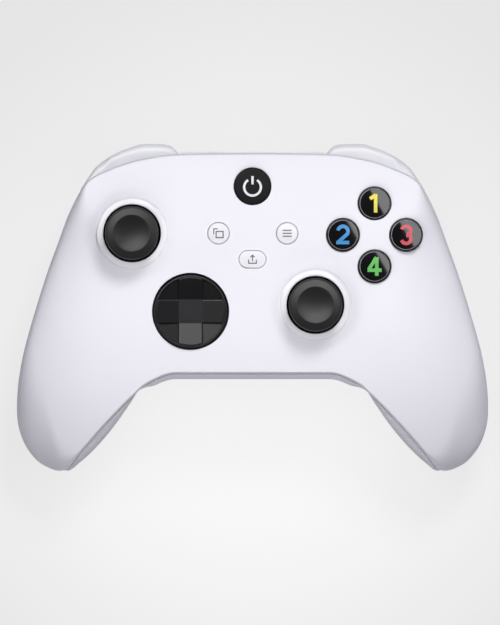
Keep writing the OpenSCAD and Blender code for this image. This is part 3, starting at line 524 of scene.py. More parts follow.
# Collar round each stick ring: a bell-shaped rise that is highest under the ring
def collar(x, y):
    rise = 0.0
    for spot in (leftStick, rightStick):
        away = np.hypot(x - spot[0], y - spot[1])
        bell = np.exp(-((away - casing["collarRadius"]) / casing["collarWidth"]) ** 2)
        rise = rise + casing["collarRise"] * bell
    return rise


# Smooth share of the way from a sweep angle to the end of the side
def endShare(s, start):
    return ease((s - start) / (casing["endAngle"] - start))


# Seam heights under the upper and the lower edge, which meet at the sides
def upperSeam(s):
    more = (casing["lowerDepth"] - casing["frontDepth"]) * endShare(s, casing["sideStart"])
    return faceHeight(sweepPlace(s), smoothCurve(topSweep, s)) - casing["frontDepth"] - more


def lowerSeam(s):
    return faceHeight(sweepPlace(s), smoothCurve(lowerSweep, s)) - casing["lowerDepth"]


# Place along X, moved in from the sides by the inset
def sweepX(s, inset):
    return sweepPlace(s) - inset * endShare(s, casing["sideStart"])


sideSweep = np.linspace(0, casing["endAngle"], 2001)
sideX = sweepPlace(sideSweep)
sideY = smoothCurve(topSweep, sideSweep)


# Distance in from the side of the outline, along X, shortened by the lean of the sides
def sideDistance(x, y):
    return (np.interp(y, sideY[::-1], sideX[::-1]) - x) * casing["sideLean"]


# Front moulding: the seam line plus the face height above it, scaled by rounded edges all round
def frontHeight(side, s, y, inset):
    top = smoothCurve(topSweep, s) - inset * lean(topSweep, s)
    low = smoothCurve(lowerSweep, s) + inset * lean(lowerSweep, s)
    x = sweepX(s, inset)
    sideShare = ease((casing["sideFrom"] - y) / casing["sideRun"])
    tipShare = ease((x - casing["tipFrom"]) / casing["tipRun"])
    topRoll = max(casing["frontRoll"] - inset, casing["leastRoll"])
    sideRoll = np.maximum(casing["frontRoll"] + casing["sideRoll"] * sideShare - inset, casing["leastRoll"])
    lowRoll = np.maximum(casing["frontRoll"] + casing["tipRoll"] * tipShare - inset, casing["leastRoll"])
    sidePower = casing["edgePower"] + (casing["gripPower"] - casing["edgePower"]) * sideShare
    lowPower = casing["edgePower"] + (casing["gripPower"] - casing["edgePower"]) * tipShare
    seam = lowerSeam(s) + (upperSeam(s) - lowerSeam(s)) * (y - low) / (top - low)
    edge = roll((top - y) * lean(topSweep, s, casing["leanSpan"]), topRoll, casing["edgePower"])
    edge = edge * roll(sideDistance(x, y), sideRoll, sidePower)
    edge = edge * roll((y - low) * lean(lowerSweep, s, casing["leanSpan"]), lowRoll, lowPower)
    return seam + (faceHeight(x, y) + collar(side * x, y) - inset - seam) * edge


# Front surface as a grid, with rows closer together near the edges
def frontGrid(inset):
    a = np.linspace(-casing["endAngle"], casing["endAngle"], casing["columns"])[:, None]
    v = (1 - np.cos(np.linspace(0, np.pi, casing["rows"])))[None, :] / 2
    s = np.abs(a)
    side = np.where(a < 0, -1.0, 1.0)
    low = smoothCurve(lowerSweep, s) + inset * lean(lowerSweep, s)
    top = smoothCurve(topSweep, s) - inset * lean(topSweep, s)
    y = low + (top - low) * v
    z = frontHeight(side, s, y, inset)
    return np.stack([np.broadcast_to(side * sweepX(s, inset), y.shape), y, z], -1)


# Height of the finished face at a place, or of the surface that lies inset from it
def onFace(x, y, inset=0.0):
    return frontHeight(np.where(x < 0, -1.0, 1.0), sweepAngle(np.abs(x)), y, inset)


# Profile of (radius, height above the face) turned round a spot and laid on the face
def onFaceRing(profile, spot, segments):
    ring = revolve(profile, spot, segments)
    ring[..., 2] += onFace(ring[..., 0], ring[..., 1])
    return ring


casingHoles = {
    "chamfer": 0.08, "ringChamfer": 0.05, "deep": 6.0, "high": 4.0, "segments": 90,
    "ring": 11.65, "pad": 12.45, "face": 5.5, "small": 3.63, "guide": 6.13,
    "shareLength": 8.96, "shareWidth": 5.76,
}


# Wall of a hole as (move outwards, height above the face), with a small chamfer where it meets the face
def holeWall(chamfer):
    wide = 2 * chamfer
    return [(0, -casingHoles["deep"]), (0, -chamfer), (wide, chamfer), (wide, casingHoles["high"])]


# Round cutter that follows the face
def roundCutter(spot, radius, chamfer):
    wall = [(radius + out, height) for out, height in holeWall(chamfer)]
    profile = [(0, -casingHoles["deep"])] + wall + [(0, casingHoles["high"])]
    return sewnMesh("cutter", [tube(onFaceRing(profile, spot, casingHoles["segments"]))])


# Outline with round ends along X, moved inwards by inset
def pillOutline(length, width, inset, count):
    r = width / 2 - inset
    half = (length - width) / 2
    right = arc((half, 0), r, -90, 90, count)
    left = arc((-half, 0), r, 90, 270, count)
    return np.vstack([right, left])


# Pill outline carried through (inset, height) steps, each height above a height function
def pillGrid(length, width, steps, spot, heightAt):
    rows = []
    for inset, height in steps:
        ring = pillOutline(length, width, min(inset, width / 2 - 1e-4), 24) + spot
        rows.append(np.column_stack([ring, heightAt(ring[:, 0], ring[:, 1]) + height]))
    return np.stack(rows)


# Pill grid with strips over its first and last row, from one round end to the other
def pillPatches(grid):
    half = grid.shape[1] // 2
    return [tube(grid)] + [sheet(np.stack([row[:half], row[half:][::-1]])) for row in (grid[0], grid[-1])]


clusterTurns = {"right": 0, "top": 90, "left": 180, "bottom": 270}


def clusterPlace(turn):
    t = np.radians(turn)
    return (clusterSpot[0] + clusterReach * np.cos(t), clusterSpot[1] + clusterReach * np.sin(t))


cutters = [roundCutter(spot, casingHoles["ring"], casingHoles["ringChamfer"])
           for spot in (leftStick, rightStick)]
holes = [(padSpot, "pad"), (viewSpot, "small"), (menuSpot, "small"), (guideSpot, "guide")]
holes += [(clusterPlace(turn), "face") for turn in clusterTurns.values()]
cutters += [roundCutter(spot, casingHoles[kind], casingHoles["chamfer"]) for spot, kind in holes]
shareWall = [(-out, height) for out, height in holeWall(casingHoles["chamfer"])]
shareCut = pillGrid(casingHoles["shareLength"], casingHoles["shareWidth"], shareWall, shareSpot, onFace)
cutters.append(sewnMesh("cutter", pillPatches(shareCut)))
frontMesh = sewnMesh("frontShell", sheetPatches(frontGrid(0.0), frontGrid(casing["wall"])))
addPiece("frontShell", cutMesh(frontMesh, cutters), "root", "shell_white", ["front_shell"])
print("front shell cut:", len(cutters), "openings")


# The rear moulding's rises and rim; a From is where a change starts and a Run is how long it takes
rear = {
    "bayFrom": 29.55, "bayRun": 6.0, "bayRise": 1.5, "wellRise": 4.0, "wellSide": 58.0, "wellSideRun": 10.0,
    "wellFrom": -5.0, "wellRun": 22.0, "upperRise": 10.0, "upperFrom": 31.0, "upperRun": 18.0,
    "tipRise": 6.0, "tipFrom": 30.0, "tipRun": 23.0, "stripFrom": 31.0, "stripRun": 7.0,
    "bulgeAt": 49.5, "bulgeHalf": 12.0, "rim": 16.5, "rimDrop": 1.5, "dropFrom": 22.0, "rimLift": 4.3,
    "liftFrom": 45.375, "rimRun": 2.5, "joinFrom": 54.0, "joinRun": 3.4, "leanFrom": 46.0, "leanRun": 8.0,
    "grooveReach": 1.5, "rollFrom": 40.0, "rollRun": 30.0, "lipRows": 8,
}


# Back height: raised beside the battery bay, under the bumpers and at the grip tips
def backHeight(x, y):
    beside = ease((rear["wellSide"] - x) / rear["wellSideRun"])
    beside = beside * ease((y - rear["wellFrom"]) / rear["wellRun"])
    z = ease((x - rear["bayFrom"]) / rear["bayRun"]) * (rear["bayRise"] + rear["wellRise"] * beside)
    z = z + rear["upperRise"] * ease((y - rear["upperFrom"]) / rear["upperRun"])
    return z + rear["tipRise"] * np.maximum(0, (-rear["tipFrom"] - y) / rear["tipRun"]) ** 2


# Reach of the rear moulding past the front one: a thin strip in the middle, a swelling on the grips
def bulge(x):
    strip = casing["strip"] * (1 - ease((x - rear["stripFrom"]) / rear["stripRun"]))
    return strip + casing["gripBulge"] * np.maximum(0, 1 - ((x - rear["bulgeAt"]) / rear["bulgeHalf"]) ** 2)


# Upper rim of the rear moulding, lower in the trigger wells
def rearRim(s):
    x = sweepPlace(s)
    rim = rear["rim"] - rear["rimDrop"] * ease((x - rear["dropFrom"]) / rear["rimRun"])
    rim = rim + rear["rimLift"] * ease((x - rear["liftFrom"]) / rear["rimRun"])
    return rim + (upperSeam(s) - casing["seamGap"] - rim) * ease((x - rear["joinFrom"]) / rear["joinRun"])


# Rear moulding: a quarter-round out from the seam to the widest line, then from the rim line down to the
# back height by a quarter-round at both edges
def rearGrid(angles, inset, rows):
    a = np.array(angles)[:, None]
    s = np.abs(a)
    x = sweepX(s, inset)
    topLean = np.maximum(lean(rearSweep, s), 1 - ease((x - rear["leanFrom"]) / rear["leanRun"]))
    top = smoothCurve(rearSweep, s) - inset * topLean
    low = smoothCurve(lowerSweep, s) + inset * lean(lowerSweep, s)
    reach = bulge(sweepPlace(s))
    seam = lowerSeam(s) - casing["seamGap"]
    lowRim = seam - casing["band"] * (1 - endShare(s, casing["bandFade"]))
    grooveShare = ease(reach / rear["grooveReach"])
    start = np.arcsin(casing["grooveWide"] / np.maximum(reach, casing["grooveWide"])) * grooveShare
    turn = start + (np.pi / 2 - start) * np.linspace(0, 1, rear["lipRows"], endpoint=False)[None, :]
    lipY = low - reach * np.sin(turn)
    lipZ = seam - (seam - lowRim) * (1 - np.cos(turn))
    deep = lipZ[:, :1] - casing["groove"] * grooveShare
    lipY = np.hstack([low, lipY[:, :1], lipY])
    lipZ = np.hstack([deep, deep, lipZ])
    v = (1 - np.cos(np.linspace(0, np.pi, rows)))[None, :] / 2
    y = low - reach + (top - low + reach) * v
    r = casing["backRoll"] + casing["backGripRoll"] * ease((x - rear["rollFrom"]) / rear["rollRun"]) - inset
    rim = lowRim + (rearRim(s) - lowRim) * v
    edge = roll((top - y) * topLean, r) * roll((y - low + reach) * lean(lowerSweep, s), r)
    z = rim - (rim - backHeight(x, y) - inset) * edge
    y = np.hstack([lipY, y])
    z = np.hstack([lipZ, z])
    side = np.where(a < 0, -1.0, 1.0)
    return np.stack([np.broadcast_to(side * x, y.shape), y, z], -1)


# Six-sided cutter between two corners
def boxCutter(low, high):
    loop = np.array([[low[0], low[1]], [high[0], low[1]], [high[0], high[1]], [low[0], high[1]]], float)
    levels = np.stack([np.column_stack([loop, np.full(4, z)]) for z in (low[2], high[2])])
    lids = [sheet(np.stack([level[:2], level[:1:-1]])) for level in levels]
    return sewnMesh("cutter", [tube(levels)] + lids)


# Round bar along Y between two places, round a centre of (x, z)
def barGrid(centre, start, end, radius, segments):
    ring = arc((0, 0), radius, 0, 360, segments + 1)[:-1]
    rows = []
    for reach, size in ((start, 0.0), (start, 1.0), (end, 1.0), (end, 0.0)):
        along = np.full(segments, float(reach))
        rows.append(np.column_stack([centre[0] + ring[:, 0] * size, along, centre[1] + ring[:, 1] * size]))
    return np.stack(rows)


rearShell = {
    "bayHalfX": 27.05, "bayHalfY": 15.3, "bayY": 7.0, "bayCut": 4.0,
    "jackX": 7.0, "jackRadius": 3.3, "jackSegments": 64, "jackEnd": -15.0,
    "socketX": -7.0, "socketHalf": 5.8, "socketTall": 2.5, "socketZ": 24.0, "socketStart": -30.0,
    "socketEnd": -13.0, "columns": 141, "rows": 111,
}
panelAngle = sweepAngle(casing["panelFrom"])
rearAngles = np.linspace(panelAngle, -panelAngle, rearShell["columns"])
rearMesh = sewnMesh("rearShell", sheetPatches(rearGrid(rearAngles, 0.0, rearShell["rows"]),
                                              rearGrid(rearAngles, casing["wall"], rearShell["rows"])))
bay = boxCutter((-rearShell["bayHalfX"], rearShell["bayY"] - rearShell["bayHalfY"], -rearShell["bayCut"]),
                (rearShell["bayHalfX"], rearShell["bayY"] + rearShell["bayHalfY"], rearShell["bayCut"]))
jackBar = barGrid((rearShell["jackX"], rearShell["socketZ"]), rearShell["socketStart"], rearShell["jackEnd"],
                  rearShell["jackRadius"], rearShell["jackSegments"])
socketLow = (rearShell["socketX"] - rearShell["socketHalf"], rearShell["socketStart"],
             rearShell["socketZ"] - rearShell["socketTall"])
socketHigh = (rearShell["socketX"] + rearShell["socketHalf"], rearShell["socketEnd"],
              rearShell["socketZ"] + rearShell["socketTall"])
rearCutters = [bay, sewnMesh("cutter", [tube(jackBar)]), boxCutter(socketLow, socketHigh)]
addPiece("rearShell", cutMesh(rearMesh, rearCutters), "root", "shell_white", ["rear_shell"])

gripPanel = {"columns": 151, "rows": 131}
panelStart = sweepAngle(casing["panelFrom"] + casing["seamGap"])
for side, sign in (("left", -1.0), ("right", 1.0)):
    angles = np.linspace(panelStart, casing["endAngle"], gripPanel["columns"])
    outer = rearGrid(angles, 0.0, gripPanel["rows"]) * (sign, 1, 1)
    inner = rearGrid(angles, casing["wall"], gripPanel["rows"]) * (sign, 1, 1)
    sewnPiece(side + "GripPanel", sheetPatches(outer, inner), "root", "grip_white", [side + "_grip_panel"])
print("rear shell and grips made")

bumper = {
    "edge": [(24, 50.2), (26.6, 52.6), (30, 53.2), (35, 53.2), (40.3, 51.8), (45.5, 49.5), (50.6, 45.9),
             (53.2, 42.4), (55.8, 38.3)],
    "height": 11.0, "back": 44.6, "endBack": 37.5, "endFrom": 46.0, "endRun": 3.0, "lip": 0.4,
    "columns": 141, "rows": 61, "knuckleSegments": 48,
    "post": (26.0, 41.5), "knuckleOut": 2.2, "knuckleIn": 1.05, "knuckleLow": 3.2, "knuckleHigh": 2.0,
}


# Bumper section: a sixth-power superellipse from its flat back to the outer edge, carried along X
def bumperGrid():
    x = np.linspace(bumper["edge"][0][0], bumper["edge"][-1][0], bumper["columns"])[:, None]
    turn = np.linspace(0, np.pi, bumper["rows"])[None, :]
    down = -np.sign(np.cos(turn)) * np.cbrt(np.abs(np.cos(turn)))
    out = np.cbrt(np.abs(np.sin(turn)))
    atEnd = ease((x - bumper["endFrom"]) / bumper["endRun"])
    back = bumper["back"] + (bumper["endBack"] - bumper["back"]) * atEnd
    high = upperSeam(sweepAngle(x)) - casing["seamGap"]
    y = back + (smoothCurve(bumper["edge"], x) - back) * out
    z = high - bumper["height"] * (1 + down) / 2
    outer = np.stack([np.broadcast_to(x, y.shape), y, z], -1)
    inner = outer.copy()
    inner[..., 1] = back - bumper["lip"]
    return outer, inner


postHigh = upperSeam(sweepAngle(bumper["post"][0])) - casing["seamGap"]
knuckleBase = postHigh - bumper["height"] + bumper["knuckleLow"]
knuckleTop = postHigh - bumper["knuckleHigh"]
knuckleProfile = [(bumper["knuckleIn"], knuckleBase), (bumper["knuckleOut"], knuckleBase),
                  (bumper["knuckleOut"], knuckleTop), (bumper["knuckleIn"], knuckleTop)]
knuckle = revolve(knuckleProfile, bumper["post"], bumper["knuckleSegments"])
bumperOuter, bumperInner = bumperGrid()
for side, sign in (("left", -1.0), ("right", 1.0)):
    patches = sheetPatches(bumperOuter * (sign, 1, 1), bumperInner * (sign, 1, 1))
    patches.append(fullRing(knuckle * (sign, 1, 1)))
    sewnPiece(side + "Bumper", patches, side + "_bumper", "trim_white", [side + "_bumper"])
print("bumpers made")


softEdge = {"sewReach": 0.002, "flatAngle": 0.5, "sharpAngle": 30.0, "segments": 3}


# Sewn copy of a CAD node with its flat faces joined and its edges rounded
def roundedCopy(node, name, width):
    source = frame["nodes"][node]
    mesh = source.data.copy()
    work = bmesh.new()
    work.from_mesh(mesh)
    bmesh.ops.remove_doubles(work, verts=work.verts, dist=softEdge["sewReach"] * mm)
    flat = np.radians(softEdge["flatAngle"])
    bmesh.ops.dissolve_limit(work, angle_limit=flat, verts=work.verts, edges=work.edges)
    work.to_mesh(mesh)
    work.free()
    piece = addPiece(name, mesh, source["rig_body"], slotOf[node], [node],
                     sharp=softEdge["sharpAngle"])
    soft = piece.modifiers.new("roundEdges", "BEVEL")
    soft.width = width * mm
    soft.segments = softEdge["segments"]
    soft.limit_method = "ANGLE"
    soft.angle_limit = np.radians(softEdge["sharpAngle"])
    soft.harden_normals = True


slotOf = {entry["node"]: entry["material_slot"] for entry in frame["record"]["subparts"]}

edgeRounding = {"top_bridge": 0.6, "battery_door": 0.3, "left_trigger": 0.55, "right_trigger": 0.55,
                "headset_jack": 0.2, "expansion_port": 0.2, "usb_port": 0.08}
for node, width in edgeRounding.items():
    first, *rest = node.split("_")
    roundedCopy(node, first + "".join(word.capitalize() for word in rest), width)
print("trim, door, triggers and sockets rounded")

stick = {
    "ringOut": 11.35, "ringIn": 9.3, "ringTop": 49.8, "ringFall": 0.6, "ringInner": 0.3, "ringOuter": 0.4,
    "foot": 1.0, "footTall": 1.4, "flange": 0.42, "flangeDepths": (0.4, 0.45, 0.7, 0.9),
    "pivot": 38.8, "capRadius": 8.6, "capTop": 58.5, "capBottom": 53.5, "capUnder": 0.4,
    "dishRadius": 5.9, "dishDrop": 1.25, "ridgeWide": 0.12, "ridgeDrop": 0.03, "bandRadius": 7.5,
    "bandDrop": 0.42, "rim": 1.1, "neck": 4.2, "neckRound": 1.0, "dome": 11.0, "domeWall": 0.8,
    "domeAngle": 75.0, "boss": 3.4, "bossLow": 44.3, "bore": 2.05, "boreTop": 55.4, "segments": 128,
}


# Ring: upright inner wall, rounded edges, a top that falls outwards, a thin flange down in the gap
def ringPatches(spot):
    inside = stick["ringIn"]
    outside = stick["ringOut"]
    low = faceHeight(spot[0], spot[1]) - casing["wall"]
    foot = inside + stick["foot"]
    wall = [(foot, low), (inside, low + stick["footTall"])]
    bend = stick["ringInner"]
    inner = arc((inside + bend, stick["ringTop"] - bend), bend, 180, 90, 9)
    fall = stick["ringTop"] - stick["ringFall"] - stick["ringOuter"]
    outer = arc((outside - stick["ringOuter"], fall), stick["ringOuter"], 75, 0, 9)
    top = revolve(np.vstack([wall, inner, outer]), spot, stick["segments"])
    reach = outside + stick["flange"]
    radii = (outside, reach, reach, outside)
    flangeProfile = [(radius, -depth) for radius, depth in zip(radii, stick["flangeDepths"])]
    flange = onFaceRing(flangeProfile, spot, stick["segments"])
    base = revolve([(outside, low), (foot, low)], spot, stick["segments"])
    return [tube(np.concatenate([top, flange, base]))]


# Thumb cap: dished top, outward-sloping band, rounded rim, neck and a spherical skirt over the opening
def capProfile():
    r = stick["capRadius"]
    top = stick["capTop"]
    rim = stick["rim"]
    dish = np.linspace(0, 1, 14)
    pivot = stick["pivot"]
    neckFoot = stick["neck"] + stick["neckRound"]
    skirtStart = np.degrees(np.arcsin(stick["neck"] / stick["dome"]))
    outerSkirt = np.radians(np.linspace(skirtStart, stick["domeAngle"], 24))
    inner = stick["dome"] - stick["domeWall"]
    innerSkirt = np.radians(np.linspace(stick["domeAngle"], np.degrees(np.arcsin(stick["boss"] / inner)), 24))
    return np.vstack([
        np.column_stack([stick["dishRadius"] * dish, top - stick["dishDrop"] * (1 - dish ** 2)]),
        [(stick["dishRadius"] + stick["ridgeWide"], top - stick["ridgeDrop"]),
         (stick["bandRadius"], top - stick["bandDrop"])],
        arc((r - rim, top - stick["bandDrop"] - rim), rim, 66, -90, 24),
        [(r - rim, stick["capBottom"] + stick["capUnder"]), (neckFoot, stick["capBottom"])],
        arc((neckFoot, stick["capBottom"] - stick["neckRound"]), stick["neckRound"], 90, 180, 6),
        np.column_stack([stick["dome"] * np.sin(outerSkirt), pivot + stick["dome"] * np.cos(outerSkirt)]),
        np.column_stack([inner * np.sin(innerSkirt), pivot + inner * np.cos(innerSkirt)]),
        [(stick["boss"], stick["bossLow"]), (stick["bore"], stick["bossLow"])],
        [(stick["bore"], stick["boreTop"]), (0, stick["boreTop"])],
    ])


for side, spot in (("left", leftStick), ("right", rightStick)):
    sewnPiece(side + "StickRing", ringPatches(spot), "root", "trim_white", [side + "_stick_ring"], ringWhite)
    capPatches = [tube(revolve(capProfile(), spot, stick["segments"]))]
    sewnPiece(side + "StickCap", capPatches, side + "_cap", "stick_black", [side + "_stick_cap"], sharp=50.0)
print("sticks made")

pad = {
    "radius": 11.7, "rim": 0.75, "low": 45.2, "rimTop": 48.6, "dishCentre": 46.3, "dishEdge": 47.9,
    "arm": 3.85, "armReach": 11.1, "armCentre": 47.75, "armEnd": 49.05, "armRound": 0.35, "post": 3.0,
    "postLow": 40.5, "pivot": 42.0, "pin": 0.9, "pinReach": 6.3, "pinSegments": 32, "segments": 144,
    "underRound": 0.4, "postRound": 0.3, "armRoot": 0.6,
}


# Dish: four flat facets, rising with |x| + |y|, inside a rounded rim
def padDish():
    turn = np.linspace(0, 2 * np.pi, pad["segments"], endpoint=False)[None, :]
    inside = pad["radius"] - pad["rim"]
    r = np.linspace(0, inside, 20)[:, None]
    x = r * np.cos(turn)
    y = r * np.sin(turn)
    rise = (np.abs(x) + np.abs(y)) / (inside * np.sqrt(2))
    z = pad["dishCentre"] + (pad["dishEdge"] - pad["dishCentre"]) * rise
    dish = np.stack([padSpot[0] + x, padSpot[1] + y, z], -1)
    half = pad["rim"] / 2
    crest = arc((inside + half, pad["rimTop"] - half), half, 180, 0, 13)
    under = [(pad["radius"], pad["low"] + pad["underRound"]), (pad["radius"] - pad["underRound"], pad["low"]),
             (pad["post"], pad["low"]), (pad["post"], pad["postLow"] + pad["postRound"]),
             (pad["post"] - pad["postRound"], pad["postLow"]), (0, pad["postLow"])]
    return np.concatenate([dish, revolve(np.vstack([crest, under]), padSpot, pad["segments"])])


# One arm: a plank that rises outwards from the flat middle, its long edges and its end rounded
def padArm(turn):
    half = pad["arm"]
    w = half * np.sin(np.linspace(-np.pi / 2, np.pi / 2, 41))[None, :]
    t = np.sin(np.linspace(0, np.pi / 2, 33))[:, None]
    end = np.sqrt(pad["armReach"] ** 2 - w ** 2)
    out = half + (end - half) * t
    slope = (pad["armEnd"] - pad["armCentre"]) / (pad["armReach"] - half)
    edge = roll(half - np.abs(w), pad["armRound"]) * roll(end - out, pad["armRound"])
    z = pad["armCentre"] + slope * (out - half) - pad["armRound"] * (1 - edge)
    w = np.broadcast_to(w, out.shape)
    top = np.stack([out, w, z], -1)
    bottom = top.copy()
    bottom[..., 2] = pad["low"] + pad["armRoot"]
    c = np.cos(np.radians(turn))
    s = np.sin(np.radians(turn))
    spin = np.array([[c, s, 0], [-s, c, 0], [0, 0, 1]])
    shift = np.array([padSpot[0], padSpot[1], 0])
    return sheetPatches(top @ spin + shift, bottom @ spin + shift)


# Flat square in the middle of the cross
def padMiddle():
    w = np.linspace(-pad["arm"], pad["arm"], 9)
    x, y = np.meshgrid(w, w, indexing="ij")
    top = np.stack([padSpot[0] + x, padSpot[1] + y, np.full(x.shape, pad["armCentre"])], -1)
    bottom = top.copy()
    bottom[..., 2] = pad["low"] + pad["armRoot"]
    return sheetPatches(top, bottom)


padPatches = [tube(padDish())]
for quarter in (0, 90, 180, 270):
    padPatches += padArm(quarter)
padPatches.append(tube(barGrid((padSpot[0], pad["pivot"]), padSpot[1] - pad["pinReach"],
                               padSpot[1] + pad["pinReach"], pad["pin"], pad["pinSegments"])))
sewnPiece("directionPad", padPatches, "dpad", "key_black", ["dpad"], crossBlack, 24.0)
# The flat middle is drawn in a lighter black: painted sheen
sewnPiece("directionMiddle", padMiddle(), "dpad", "key_black", material=middleBlack)
padWell = {
    "inside": 10.6, "outside": 13.9, "wall": 13.2, "low": 43.5, "floor": 43.8, "top": 46.4, "segments": 96,
}
wellProfile = [(padWell["inside"], padWell["floor"]), (padWell["wall"], padWell["floor"]),
               (padWell["wall"], padWell["top"]), (padWell["outside"], padWell["top"]),
               (padWell["outside"], padWell["low"]), (padWell["inside"], padWell["low"])]
sewnPiece("padWell", [fullRing(revolve(wellProfile, padSpot, padWell["segments"]))], "root", "chassis_black")
print("direction pad made")


# Signs and figures are thin ribbons: how far they stand out and sink in, and how sharp a corner is mitred
stroked = {"proud": 0.03, "sunk": 0.05, "leastMitre": 0.6}


# Ribbon along a flat path, mitred at its corners, lying on a height function and a little proud of it
def ribbon(path, width, heightAt, closed=False, fine=6):
    path = np.array(path, float)
    step = np.diff(path, axis=0)
    step = step / np.linalg.norm(step, axis=1)[:, None]
    normal = np.stack([-step[:, 1], step[:, 0]], 1)
    before = np.vstack([normal[-1:] if closed else normal[:1], normal])
    after = np.vstack([normal, normal[:1] if closed else normal[-1:]])
    both = before + after
    mitre = both * (width / np.maximum((both ** 2).sum(1), stroked["leastMitre"]))[:, None]
    share = np.linspace(0, 1, fine, endpoint=False)[None, :, None]
    edges = []
    for edge in (path + mitre, path - mitre):
        between = (edge[:-1, None] * (1 - share) + edge[1:, None] * share).reshape(-1, 2)
        edges.append(np.vstack([between, edge[-1:]]))
    corners = []
    proud = stroked["proud"]
    sunk = -stroked["sunk"]
    for edge, lift in ((edges[0], proud), (edges[1], proud), (edges[1], sunk), (edges[0], sunk)):
        corners.append(np.column_stack([edge, heightAt(edge[:, 0], edge[:, 1]) + lift]))
    grid = np.stack(corners, 1)
    patches = [tube(grid)]
    if not closed:
        patches += [sheet(np.stack([grid[k, :2], grid[k, :1:-1]])) for k in (0, -1)]
    return patches


# Height over a shallow dome, which drops with the square of the distance from its spot
def domeOver(spot, crown, drop, radius):
    return lambda x, y: crown - drop * (np.hypot(x - spot[0], y - spot[1]) / radius) ** 2


faceButton = {
    "radius": 5.35, "rise": 1.7, "domeRadius": 4.6, "domeDrop": 0.25, "collarDrop": 0.62, "collarRound": 0.45,
    "flange": 1.0, "flangeThick": 1.2, "flangeGap": 1.0, "bodyDrop": 8.0, "segments": 96,
    "grooveIn": (0.06, 0.06), "grooveOut": (0.16, 0.02), "lineAt": (0.1, 0.02), "lineRadius": 0.1,
    "figureHeight": 6.0, "figureWidth": 1.15,
}


# Height at the top of a flange, a gap below the lowest wall that it reaches
def flangeTop(spot, reach):
    rim = arc(spot, reach, 0, 330, 12)
    return onFace(rim[:, 0], rim[:, 1], casing["wall"]).min() - faceButton["flangeGap"]


# Figures as strokes in a box one high, centred on its middle
figures = {
    "top": [[(-0.24, 0.24), (0.06, 0.46)], [(0.06, 0.5), (0.06, -0.5)]],
    "left": [np.vstack([arc((0, 0.19), 0.27, 170, -35, 22), [(-0.28, -0.41)]]),
             [(-0.36, -0.41), (0.34, -0.41)]],
    "right": [arc((0, 0.21), 0.25, 160, -88, 22), arc((0, -0.2), 0.26, 88, -160, 22)],
    "bottom": [[(0.1, 0.5), (-0.32, -0.17)], [(-0.38, -0.2), (0.38, -0.2)], [(0.12, 0.5), (0.12, -0.5)]],
}
figureInk = {"top": inkYellow, "left": inkBlue, "right": inkRed, "bottom": inkGreen}


# Domed button: a shallow paraboloid inside a lower rounded collar, over a plain body with a flange
def faceButtonProfile(spot):
    base = faceHeight(spot[0], spot[1])
    crown = base + faceButton["rise"]
    t = np.linspace(0, 1, 24)
    r = faceButton["radius"]
    dome = faceButton["domeRadius"]
    shoulder = crown - faceButton["collarDrop"]
    bend = faceButton["collarRound"]
    wide = r + faceButton["flange"]
    flangeHigh = flangeTop(spot, wide)
    flangeLow = flangeHigh - faceButton["flangeThick"]
    low = min(base - faceButton["bodyDrop"], flangeLow)
    return np.vstack([
        np.column_stack([dome * t, crown - faceButton["domeDrop"] * t ** 2]),
        [(dome + out, shoulder - down) for out, down in (faceButton["grooveIn"], faceButton["grooveOut"])],
        arc((r - bend, shoulder - bend), bend, 90, 0, 10),
        [(r, flangeHigh), (wide, flangeHigh), (wide, flangeLow), (r, flangeLow), (r, low), (0, low)],
    ])


for side, turn in clusterTurns.items():
    spot = clusterPlace(turn)
    body = side + "_face_button"
    crown = faceHeight(spot[0], spot[1]) + faceButton["rise"]
    buttonGrid = revolve(faceButtonProfile(spot), spot, faceButton["segments"])
    sewnPiece(side + "FaceButton", [tube(buttonGrid)], body, "key_black", [body])
    domeAt = domeOver(spot, crown, faceButton["domeDrop"], faceButton["domeRadius"])
    strokes = []
    for stroke in figures[side]:
        path = np.array(stroke) * faceButton["figureHeight"] + spot
        strokes += ribbon(path, faceButton["figureWidth"], domeAt)
    sewnPiece(side + "FaceFigure", strokes, body, "key_black", material=figureInk[side])
    # Thin grey bead round the edge of the dome: a painted highlight standing in for the light that edge
    # catches
    out, up = faceButton["lineAt"]
    highlightCentre = (faceButton["domeRadius"] + out, crown - faceButton["collarDrop"] + up)
    highlightRound = arc(highlightCentre, faceButton["lineRadius"], 0, 360, 9)[:-1]
    line = revolve(highlightRound, spot, faceButton["segments"])
    sewnPiece(side + "FaceEdge", [fullRing(line)], body, "key_black", material=edgeGrey)
print("face buttons made")

smallButton = {
    "rise": 0.9, "dome": 0.3, "edge": 0.8, "stem": 1.3, "stemLow": 30.6, "flange": 1.0, "flangeThick": 1.2,
    "radius": 3.5, "guideRadius": 6.0, "guideDome": 0.25, "segments": 96, "line": 0.36,
    "shareLength": 8.7, "shareWidth": 5.5, "shareEdge": 0.35, "shareDome": 0.2, "shareInner": (0.6, 2.7),
    "shareSignFall": 0.02, "stemDrop": 1.0, "stemSegments": 48,
}


# Small round button: shallow dome with a rounded edge, a flange and a stem down to its switch
def smallProfile(spot, r, dome):
    base = faceHeight(spot[0], spot[1])
    crown = base + smallButton["rise"]
    edge = smallButton["edge"]
    t = np.linspace(0, 1, 16)
    inside = r - edge
    wide = r + smallButton["flange"]
    flangeHigh = flangeTop(spot, wide)
    flangeLow = flangeHigh - smallButton["flangeThick"]
    stem = smallButton["stem"]
    stemLow = smallButton["stemLow"]
    return np.vstack([
        np.column_stack([inside * t, crown - dome * t ** 2]),
        arc((inside, crown - dome - edge), edge, 84, 0, 8),
        [(r, flangeHigh), (wide, flangeHigh), (wide, flangeLow)],
        [(stem, flangeLow), (stem, stemLow), (0, stemLow)],
    ])


